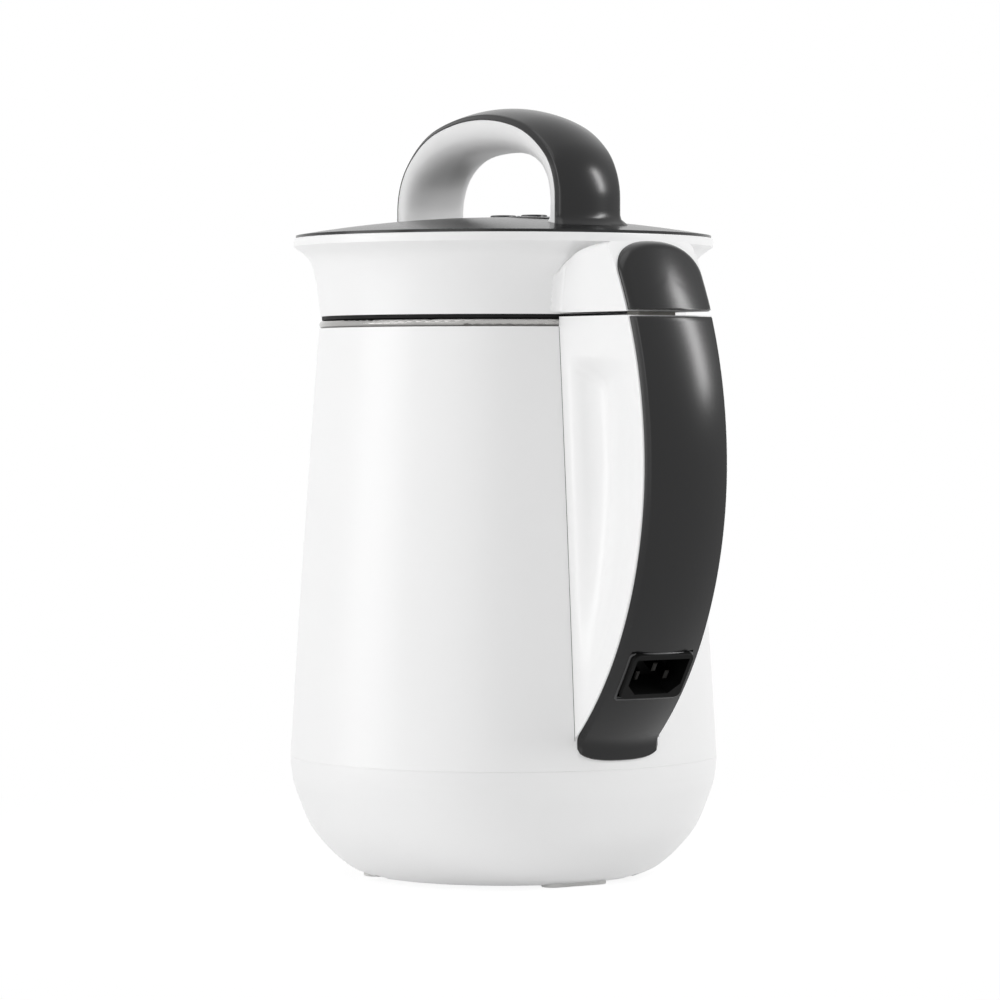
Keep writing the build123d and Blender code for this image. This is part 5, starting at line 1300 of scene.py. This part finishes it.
@dataclass
class Head(SubAssembly):
    """Flared white ring with the fin, the dark deck and the seal under it."""

    dressed: dict[str, Finish] = field(default_factory=lambda: {
        "head_coupler": Finish.PALE_NYLON,
        "coupler_pins": Finish.BRASS,
        "head_lead": Finish.JACKET,
        "deck_cover": Finish.DARK_PP,
        "lower_cover": Finish.POT_STEEL,
        "cover_nuts": Finish.SCREW_ZINC,
        "seal_ring": Finish.SEAL,
        "shaft_sleeve": Finish.POT_STEEL,
        "sleeve_bush": Finish.BRONZE,
        "shaft_seal": Finish.SILICONE,
        "temperature_probe": Finish.BRIGHT_STEEL,
        "overflow_probe": Finish.BRIGHT_STEEL,
    })
    crown: Crown = STRIP_CROWN
    wall: float = 2.4
    ring_sharp: float = 40.0
    rim_round: Point = (0.5, 0.4)
    flange_z: float = 237.0
    flange_thick: float = 2.6
    flange_radius: float = 56.0
    flange_round: float = 0.6
    fin_low_z: float = 234.8
    fin_start_z: float = 255.0
    fin_root_x: float = 68.5
    fin_round: float = 2.4
    fin_fillet: float = 3.6
    fin_under: float = -0.4
    fin_end: float = 0.95
    fin_sharp: float = 45.0
    fin_rings: int = 110
    fin_rows: int = 30
    brow_steps: int = 6
    crest_steps: int = 12
    crest_tries: int = 12
    fin_spots: tuple[float, ...] = (12.0, 4.0, -4.0, -12.0)
    fin_crest: tuple[Point, ...] = (
        (68.0, 244.0), (72.0, 246.5), (75.5, 249.8), (79.4, 255.4), (87.7, 259.7), (102.0, 262.1),
        (116.0, 262.9), (130.0, 263.0))
    strip_low_z: float = 235.3
    strip_top_z: float = 263.0
    strip_powers: Point = (0.9, 0.95)
    strip_sharp: float = 60.0
    dome_steps: int = 48
    side_steps: int = 10
    foot_steps: int = 20
    strip_edge: float = 2.2
    strip_foot: float = 9.0
    strip_least: float = 0.9
    strip_shares: tuple[float, ...] = (
        0.0, 0.004, 0.014, 0.03, 0.055, 0.085, 0.12, 0.17, 0.24, 0.33, 0.45, 0.6, 0.78, 0.97)

    def ring(self) -> None:
        """Turns the flared ring with its rim band and inner flange."""
        outer = LINES.ring_outline()
        rim, top, low = LINES.rim_radius, LINES.head_rim_z, LINES.head_rim_z - LINES.rim_band
        down = [(r - self.wall, z) for r, z in reversed(outer)]
        over, under = self.flange_z + self.flange_thick, self.flange_z
        above = [spot for spot in down if spot[1] > over]
        below = [spot for spot in down if spot[1] < under]
        band = rounded([(rim, low, 0.0), (rim, top, self.rim_round[0]),
                        (rim - self.wall, top, self.rim_round[1]), (rim - self.wall, low, 0.0)])
        flange = rounded([(above[-1][0], over, 0.0), (self.flange_radius, over, self.flange_round),
                          (self.flange_radius, under, self.flange_round), (below[0][0], under, 0.0)])
        skin = turned(outer + band + above + flange + below)
        piece = mesh_piece("head_ring", skin, Finish.WHITE_ABS, self.ring_sharp)
        stand(piece, "head", "white_plastic", "head_shell")

    def fin_x(self, z: float, share: float) -> float:
        """Distance from the axis at a share of the way from the fin's root to its front."""
        return self.fin_root_x + (LINES.bow(z) - self.fin_root_x) * share

    def fin_ring(self, share: float) -> Ring:
        """Section of the fin, with its rounded brows.

        Args:
            share: Share of the way from its root to its front.

        Returns:
            Points round the section.
        """
        half, radius, low, top = LINES.web_half, self.fin_round, self.fin_low_z, self.fin_start_z
        crest = along(self.fin_crest, self.crest_steps)
        for _ in range(self.crest_tries):
            top = read_line(crest, self.fin_x(top, share))
        side = [(half, z) for z in spaced(low, top - radius, self.fin_rows)]
        side += [(half - radius * (1 - math.cos(turn)), top - radius * (1 - math.sin(turn)))
                 for turn in spaced(0.0, math.pi / 2, self.brow_steps)[1:]]
        side += [(y, top) for y in spaced(half - radius, 0.0, self.brow_steps)[1:]]
        outline = [(-y, z) for y, z in side] + side[-2::-1] + [(y, low) for y in self.fin_spots]
        return [(self.fin_x(z, share), y, z) for y, z in outline]

    def fin(self) -> None:
        """Lofts the fin from the ring to the strip and raises its hollow shoulder against the ring."""
        skin = lofted([self.fin_ring(share) for share in spaced(0.0, 1.0, self.fin_rings)])
        piece = mesh_piece("head_fin", skin, Finish.WHITE_ABS, self.fin_sharp)
        shape = bmesh.new()
        shape.from_mesh(piece.data)
        shape.normal_update()
        moves = []
        for corner in shape.verts:
            if corner.normal.z < self.fin_under or abs(corner.normal.x) > self.fin_end:
                continue
            x, y, z = (c / MM for c in corner.co)
            gap = math.hypot(x, y) - LINES.ring(z)
            spot = Vector((x, y, z)) + corner.normal * hollow_fillet(gap, self.fin_fillet)
            drift = math.hypot(spot.x, spot.y) - LINES.ring(spot.z) - gap
            spot.x -= drift * math.hypot(spot.x, spot.y) / max(spot.x, 1.0)
            moves.append((corner, spot * MM))
        for corner, spot in moves:
            corner.co = spot
        shape.to_mesh(piece.data)
        shape.free()
        stand(piece, "head", "white_plastic")

    def strip_lift(self, y: float, inside: float) -> float:
        """Height of the strip over the fin.

        Args:
            y: Place across the strip.
            inside: Distance inside its outline.

        Returns:
            The height.
        """
        share = min(max(inside, 0.0) / self.strip_edge, 1.0)
        return max(self.crown.lift(y), self.crown.rise * self.strip_least) * math.sqrt(1 - (1 - share) ** 2)

    def strip_outline(self) -> list[Point]:
        """Outline of the strip's upper end, square below and domed above.

        Returns:
            Place across and height of each point.
        """
        half, low, high = self.crown.half, self.strip_low_z, self.strip_top_z
        middle, (wide, tall) = (low + high) / 2, self.strip_powers
        dome = [(math.cos(turn), math.sin(turn)) for turn in spaced(0.0, math.pi, self.dome_steps)]
        outline = [(half * math.copysign(abs(c) ** wide, c), middle + (high - middle) * q ** tall)
                   for c, q in dome]
        outline += [(-half, z) for z in spaced(middle, low, self.side_steps)[1:-1]]
        outline += [(y, low) for y in spaced(-half, half, self.foot_steps)]
        return outline + [(half, z) for z in spaced(low, middle, self.side_steps)[1:-1]]

    def strip(self) -> None:
        """Makes the strip's upper end, crowned all over."""
        low = self.strip_low_z
        centre = Vector((0.0, (low + self.strip_top_z) / 2))
        rings: list[Ring] = []
        for share, sunk in ((0.0, True), *((share, False) for share in self.strip_shares)):
            ring: Ring = []
            for y, z in self.strip_outline():
                edge = Vector((y, z))
                spot = edge + (centre - edge) * share
                inside = (edge - spot).length
                if z <= low + WELD:
                    inside = min(self.crown.half - abs(spot.x), inside * self.strip_foot)
                lift = self.crown.under if sunk else self.strip_lift(spot.x, inside)
                ring.append((LINES.bow(spot.y, lift), spot.x, spot.y))
            rings.append(ring)
        piece = mesh_piece("head_cover", lofted(rings), Finish.DARK_PP, self.strip_sharp)
        stand(piece, "head", "dark_plastic", "head_strip")

    def build(self) -> None:
        """Dresses the small nodes and builds the ring, the fin and the strip's upper end."""
        super().build()
        self.ring()
        self.fin()
        self.strip()


@dataclass
class CarryHandle(SubAssembly):
    """Arch over the deck: dark crowned cap and white lining."""

    crown: Crown = CARRY_CROWN
    back_x: float = -60.9
    front_x: float = 64.7
    middle_x: float = -1.6
    rise: float = 40.6
    spring: float = 4.2
    reach: float = 66.3
    shares: tuple[Point, ...] = (
        (-0.775, 0.571), (-0.421, 0.901), (0.127, 1.0), (0.519, 0.906), (0.864, 0.618), (1.0, 0.148))
    gap_line: tuple[Point, ...] = (
        (-52.0, -8.0), (-52.0, 0.0), (-51.3, 7.0), (-47.0, 15.0), (-38.5, 20.8), (-27.0, 24.7),
        (-14.0, 26.6), (2.0, 27.2), (20.0, 26.3), (36.0, 23.3), (47.0, 18.4), (52.6, 12.0), (54.2, 5.5),
        (54.4, 0.0), (54.4, -8.0))
    gap_power: float = 2.6
    foot_z: float = 268.2
    foot_fillet: float = 4.0
    cap_side: float = 0.5
    cap_power: float = 6.0
    lining_in: float = 0.12
    lining_side: float = 0.4
    stations: int = 130
    leg_steps: int = 8
    arc_steps: int = 16
    gap_steps: int = 10
    lining_steps: int = 44
    cap_sharp: float = 50.0
    lining_sharp: float = 55.0

    def flare(self, x: float, y: float, z: float) -> float:
        """Height that the hollow fillet against the deck adds at a place."""
        return hollow_fillet(z - DECK.height(x, y), self.foot_fillet)

    def line(self) -> list[tuple[Point, Point]]:
        """Line where cap and lining meet, a chain of arcs that run smoothly into each other.

        Returns:
            Place and outward direction of each point, from the far foot over to the near one.
        """
        base = DECK.height(0.0)
        at, way = Vector((self.back_x, base + self.spring)), Vector((0.0, 1.0))
        line = [((self.back_x, z), (-1.0, 0.0)) for z in spaced(self.foot_z, at.y, self.leg_steps)[:-1]]
        for x_share, z_share in self.shares:
            end = Vector((self.middle_x + self.reach * x_share, base + self.rise * z_share))
            chord = end - at
            turn = 2 * math.atan2(way.x * chord.y - way.y * chord.x, way.dot(chord))
            normal = Vector((way.y, -way.x)) if turn < 0 else Vector((-way.y, way.x))
            centre = at + normal * (chord.length / (2 * math.sin(abs(turn) / 2)))
            for spin in spaced(0.0, turn, self.arc_steps)[:-1]:
                here = centre + spun(at - centre, spin)
                line.append((tuple(here), tuple((here - centre).normalized())))
            at, way = end, spun(way, turn)
        return line + [((self.front_x, z), (1.0, 0.0)) for z in spaced(at.y, self.foot_z, self.leg_steps)]

    def cap(self) -> None:
        """Sweeps the crowned cap, with a small hollow fillet where it lands on the deck."""
        rings: list[Ring] = []
        for (x, z), (dx, dz) in self.line():
            ring: Ring = []
            for y, out in self.crown.section():
                px, pz = x + dx * out, z + dz * out
                flare = self.flare(px, y, pz) if out > 0 else 0.0
                side = math.copysign(min(abs(y) / self.crown.half, 1.0) ** self.cap_power, y)
                ring.append((px + dx * flare, y + side * flare * self.cap_side, pz + dz * flare))
            rings.append(ring)
        piece = mesh_piece("carry_cap", lofted(rings), Finish.DARK_PP, self.cap_sharp)
        stand(piece, "head", "dark_plastic", "arch_cap")

    def lining(self) -> None:
        """Lofts the thick white lining, swollen towards the hand and flared where it lands on the deck."""
        outer = evenly([spot for spot, _ in self.line()], self.stations)
        gap = [(x, DECK.height(0.0) + z) for x, z in along(self.gap_line, self.gap_steps)]
        inner = evenly(gap, self.stations)
        half, power = self.crown.half - self.lining_in, 2 / self.gap_power
        rings: list[Ring] = []
        for (ox, oz), (ix, iz) in zip(outer, inner):
            depth = Vector((ix - ox, iz - oz))
            way = depth.normalized()
            ring: Ring = []
            for turn in spaced(0.0, math.pi, self.lining_steps):
                c, share = math.cos(turn), max(math.sin(turn), 0.0) ** power
                y = -half * math.copysign(abs(c) ** power, c)
                px, pz = ox + depth.x * share, oz + depth.y * share
                flare = self.flare(px, y, pz) * share
                ring.append((px + way.x * flare, y - c * flare * self.lining_side, pz + way.y * flare))
            rings.append(ring)
        piece = mesh_piece("carry_lining", lofted(rings), Finish.WHITE_ABS, self.lining_sharp)
        stand(piece, "head", "white_plastic", "arch_lining")

    def build(self) -> None:
        """Builds the cap and the lining."""
        super().build()
        self.cap()
        self.lining()


@dataclass
class Controls(SubAssembly):
    """Control panel over the deck's dome, three dished buttons with plain signs, lights and the boards."""

    dressed: dict[str, Finish] = field(default_factory=lambda: {
        "panel_board": Finish.BOARD,
        "power_board": Finish.BOARD,
        "board_parts": Finish.PHENOLIC,
    })
    half_long: float = 42.0
    half_wide: float = 12.5
    corner: float = 11.0
    corner_least: float = 0.2
    sink: float = 1.5
    proud: float = 0.6
    edge: tuple[Point, ...] = ((0.0, 0.1), (0.1, 0.35), (0.35, 0.52))
    insets: tuple[float, ...] = (0.9, 3.0, 6.0, 9.0, 11.5)
    cap_radius: float = 5.5
    cap_gap: float = 0.25
    cap_proud: float = 0.5
    cap_rim: tuple[Point, ...] = ((0.0, 0.4), (0.1, 0.15), (0.4, 0.0), (0.8, 0.02))
    hole_length: float = 12.0
    collar: float = 0.9
    collar_drop: float = 1.2
    stem: float = 1.6
    dish: float = 0.28
    dish_line: tuple[Point, ...] = ((0.6, 0.65), (0.3, 0.9))
    dish_middle: float = 0.2
    spacing: float = 24.0
    sign_span: Point = (-0.1, 0.07)
    triangle: tuple[Point, ...] = ((-0.9, -1.2), (1.2, 0.0), (-0.9, 1.2))
    bar_half: Point = (1.2, 0.22)
    bar_spots: tuple[float, ...] = (-0.9, 0.0, 0.9)
    square_half: float = 0.95
    light_spots: tuple[float, ...] = (-35.0, -12.0, 12.0, 35.0)
    light_radius: float = 0.8
    light_rise: float = 0.14
    corner_steps: int = 12
    round_steps: int = 64
    panel_sharp: Point = (50.0, 40.0)
    cap_sharp: float = 40.0
    sign_sharp: float = 30.0

    def outline(self, inset: float) -> list[Point]:
        """Rounded outline of the panel, drawn in by a distance."""
        corner = max(self.corner - inset, self.corner_least)
        return round_box(self.half_long - inset, self.half_wide - inset, corner, self.corner_steps)

    def panel(self) -> None:
        """Lofts the panel over the dome and drills the buttons' holes."""
        rows = ((0.0, -self.sink), *self.edge, *((inset, self.proud) for inset in self.insets))
        rings = [[(x, y, DECK.height(x, y) + lift) for x, y in self.outline(inset)] for inset, lift in rows]
        piece = mesh_piece("panel_glass", lofted(rings), Finish.PANEL_PC, self.panel_sharp[0])
        spots = [(index * self.spacing, 0.0, DECK.height(0.0)) for index in (-1, 0, 1)]
        drill(piece, spots, self.cap_radius + self.cap_gap, self.hole_length, self.round_steps)
        piece.data.set_sharp_from_angle(angle=math.radians(self.panel_sharp[1]))
        stand(piece, "head", "black_gloss", "control_panel")

    def cap(self, node: str, index: int) -> float:
        """Lofts one button and returns the height of its rim.

        Args:
            node: CAD node and body of the button.
            index: Place in the row, from -1 at the far side to 1 near the handle.

        Returns:
            Height of the rim in millimetres.
        """
        middle = index * self.spacing
        low, high = (corner[2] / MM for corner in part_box(node))
        top = min(DECK.height(middle) + self.proud + self.cap_proud, high)
        seat = DECK.height(0.0) - self.sink - self.collar_drop
        radius = self.cap_radius
        stack = [(self.stem, low), (self.stem, seat), (radius + self.collar, seat),
                 (radius + self.collar, seat + self.collar), (radius, seat + self.collar)]
        stack += [(radius - inset, top - drop) for inset, drop in self.cap_rim]
        stack += [(radius * share, top - self.dish * drop) for share, drop in self.dish_line]
        stack.append((self.dish_middle, top - self.dish))
        skin = lofted([circle(r, z, self.round_steps, middle) for r, z in stack])
        piece = mesh_piece(node.replace("button", "cap"), skin, Finish.BUTTON_ABS, self.cap_sharp)
        stand(piece, node, "button_plastic", node)
        return top

    def sign(self, node: str, index: int, top: float, shapes: Sequence[Sequence[Point]]) -> None:
        """Prints a plain sign on a button.

        Args:
            node: Body of the button.
            index: Place in the row.
            top: Height of the button's rim.
            shapes: Corners of each patch about the button's middle.
        """
        points: Ring = []
        faces: list[list[int]] = []
        heights = [top - self.dish + lift for lift in self.sign_span]
        for patch in shapes:
            rings = [[(index * self.spacing + x, y, z) for x, y in patch] for z in heights]
            corners, sides = lofted(rings)
            faces += [[corner + len(points) for corner in side] for side in sides]
            points += corners
        piece = mesh_piece(node.replace("button", "sign"), (points, faces), Finish.MARK_INK, self.sign_sharp)
        stand(piece, node, "white_plastic")

    def lights(self) -> None:
        """Sets the four small lights between and beside the buttons."""
        spots = [(x, 0.0, DECK.height(x) + self.proud) for x in self.light_spots]
        piece = lenses("panel_lights", spots, self.light_radius, self.light_rise, Finish.LENS)
        stand(piece, "head", "button_plastic")

    def build(self) -> None:
        """Dresses the boards and builds panel, buttons, signs and lights."""
        super().build()
        self.panel()
        bars = [[(x, middle + y) for x, y in round_box(*self.bar_half, 0.0, 1)] for middle in self.bar_spots]
        square = round_box(self.square_half, self.square_half, 0.0, 1)
        for node, index, shapes in (("start_button", 1, [self.triangle]), ("program_button", 0, bars),
                                    ("stop_button", -1, [square])):
            self.sign(node, index, self.cap(node, index), shapes)
        self.lights()


@dataclass
class Motor(SubAssembly):
    """Motor, shaft and blade."""

    dressed: dict[str, Finish] = field(default_factory=lambda: {
        "stator_core": Finish.CORE_STEEL,
        "field_coils": Finish.WINDING,
        "lower_bracket": Finish.CAST_ALUMINIUM,
        "upper_bracket": Finish.CAST_ALUMINIUM,
        "motor_bolts": Finish.SCREW_ZINC,
        "motor_bearings": Finish.BRIGHT_STEEL,
        "motor_mounts": Finish.MOUNT_RUBBER,
        "brush_holders": Finish.BRASS,
        "carbon_brushes": Finish.CARBON,
        "motor_shaft": Finish.BRIGHT_STEEL,
        "armature_core": Finish.CORE_STEEL,
        "armature_winding": Finish.WINDING,
        "commutator": Finish.BRASS,
        "cooling_fan": Finish.BLACK_NYLON,
        "blade": Finish.BRIGHT_STEEL,
        "blade_nut": Finish.BRIGHT_STEEL,
    })


# Stage


@dataclass
class Studio:
    """Pale floor, soft light and the camera at the photograph's angle."""

    azimuth: float = 58.0
    distance: float = 1751.0
    camera_height: float = 204.6
    lens: float = 149.6
    sensor: float = 36.0
    pitch: float = 1.55
    shift_x: float = -0.0035
    shift_y: float = 0.0
    clip_end: float = 50.0
    floor_size: float = 12000.0
    floor_fade: Point = (0.1, 0.4)
    floor_cloud: float = 120.0
    key_power: float = 8.5
    rim_power: float = 8.0
    top_share: float = 0.35
    fill_power: float = 4.0
    world_light: float = 0.45
    floor_glow: float = 0.9
    aim_z: float = 160.0

    def camera(self) -> None:
        """Puts the camera where the photograph was taken from."""
        turn = math.radians(self.azimuth)
        data = bpy.data.cameras.new("camera")
        data.lens, data.sensor_width, data.clip_end = self.lens, self.sensor, self.clip_end
        data.shift_x, data.shift_y = self.shift_x, self.shift_y
        camera = bpy.data.objects.new("camera", data)
        bpy.context.collection.objects.link(camera)
        camera.location = (self.distance * math.sin(turn) * MM, -self.distance * math.cos(turn) * MM,
                           self.camera_height * MM)
        camera.rotation_euler = (math.radians(90.0 - self.pitch), 0.0, turn)
        bpy.context.scene.camera = camera

    def floor(self) -> None:
        """Lays a pale floor that keeps the shadow near the object and is plain white further out."""
        half = self.floor_size * MM / 2
        mesh = bpy.data.meshes.new("floor")
        corners = [(-half, -half, 0), (half, -half, 0), (half, half, 0), (-half, half, 0)]
        mesh.from_pydata(corners, [], [(0, 1, 2, 3)])
        floor = linked("floor", mesh)
        shader = Shader("pale_floor")
        cloud = shader.tint(shader.noise(self.floor_cloud, 2.0), "#F7F7F7", "#FAFAFA")
        lit = shader.add("ShaderNodeBsdfDiffuse", {"Color": cloud})
        dim = shader.add("ShaderNodeBsdfDiffuse", {"Color": linear("#6E6E6E")})
        glow = shader.add("ShaderNodeEmission", {"Color": WHITE, "Strength": self.floor_glow})
        white = shader.add("ShaderNodeEmission", {"Color": WHITE, "Strength": 1.0})
        near = shader.add("ShaderNodeAddShader", {0: dim.outputs[0], 1: glow.outputs[0]})
        reach = shader.add("ShaderNodeVectorMath", {0: shader.place}, operation="LENGTH")
        fade = shader.ranged(reach.outputs["Value"], self.floor_fade, (0.0, 1.0), smooth=True)
        straight, bent = seen_rays(shader.tree)
        shown = blended(shader.tree, fade, near, white)
        mirror = blended(shader.tree, bent, lit, white)
        mesh.materials.append(shader.closed(blended(shader.tree, straight, mirror, shown).outputs[0]))

    def lamp(self, name: str, azimuth: float, height: float, reach: float, size: Point, power: float) -> None:
        """Hangs a soft box that faces the object.

        Args:
            name: Name of the lamp.
            azimuth: Degrees from +X round to +Y.
            height: Height in millimetres.
            reach: Distance from the object's axis in millimetres.
            size: Width and height of the box in millimetres.
            power: Watts.
        """
        data = bpy.data.lights.new(name, "AREA")
        data.shape = "RECTANGLE"
        data.size, data.size_y = size[0] * MM, size[1] * MM
        data.energy = power
        lamp = bpy.data.objects.new(name, data)
        bpy.context.collection.objects.link(lamp)
        turn = math.radians(azimuth)
        lamp.location = Vector((reach * math.cos(turn), reach * math.sin(turn), height)) * MM
        aim = Vector((0.0, 0.0, self.aim_z * MM)) - lamp.location
        lamp.rotation_euler = aim.to_track_quat("-Z", "Y").to_euler()

    def world(self) -> None:
        """Lights everything evenly and shows white behind it, in mirrors and glass as well."""
        world = bpy.data.worlds.new("studio")
        world.use_nodes = True
        tree = world.node_tree
        tree.nodes.clear()
        straight, bent = seen_rays(tree)
        seen = add_node(tree, "ShaderNodeMath", {0: straight, 1: bent}, operation="MAXIMUM")
        soft = add_node(tree, "ShaderNodeBackground", {"Color": WHITE, "Strength": self.world_light})
        white = add_node(tree, "ShaderNodeBackground", {"Color": WHITE, "Strength": 1.0})
        mixed = blended(tree, seen.outputs[0], soft, white)
        add_node(tree, "ShaderNodeOutputWorld", {"Surface": mixed.outputs[0]})
        bpy.context.scene.world = world

    def build(self) -> None:
        """Sets up camera, floor, lamps and world."""
        bpy.context.scene.view_settings.view_transform = "Standard"
        self.camera()
        self.floor()
        self.world()
        # Angles from +X: the camera stands at -32 degrees, so its left is -122 and its right is 58.
        for name, azimuth, height, reach, size, power in (
                ("left_box", -108.0, 420.0, 1500.0, (900.0, 1300.0), self.key_power),
                ("right_box", 46.0, 850.0, 1300.0, (180.0, 700.0), self.rim_power),
                ("front_box", -62.0, 420.0, 1800.0, (1300.0, 900.0), self.fill_power),
                ("top_box", -100.0, 1500.0, 500.0, (1000.0, 1000.0), self.top_share * self.key_power)):
            self.lamp(name, azimuth, height, reach, size, power)


def main() -> None:
    """Builds the studio and every sub-assembly in order."""
    logging.basicConfig(level=logging.INFO, format="%(message)s")
    Studio().build()
    for assembly in (Jug(), JugHandle(), Head(), CarryHandle(), Controls(), Motor()):
        assembly.build()
        LOG.info("%s done", type(assembly).__name__)


if __name__ == "__main__":
    main()
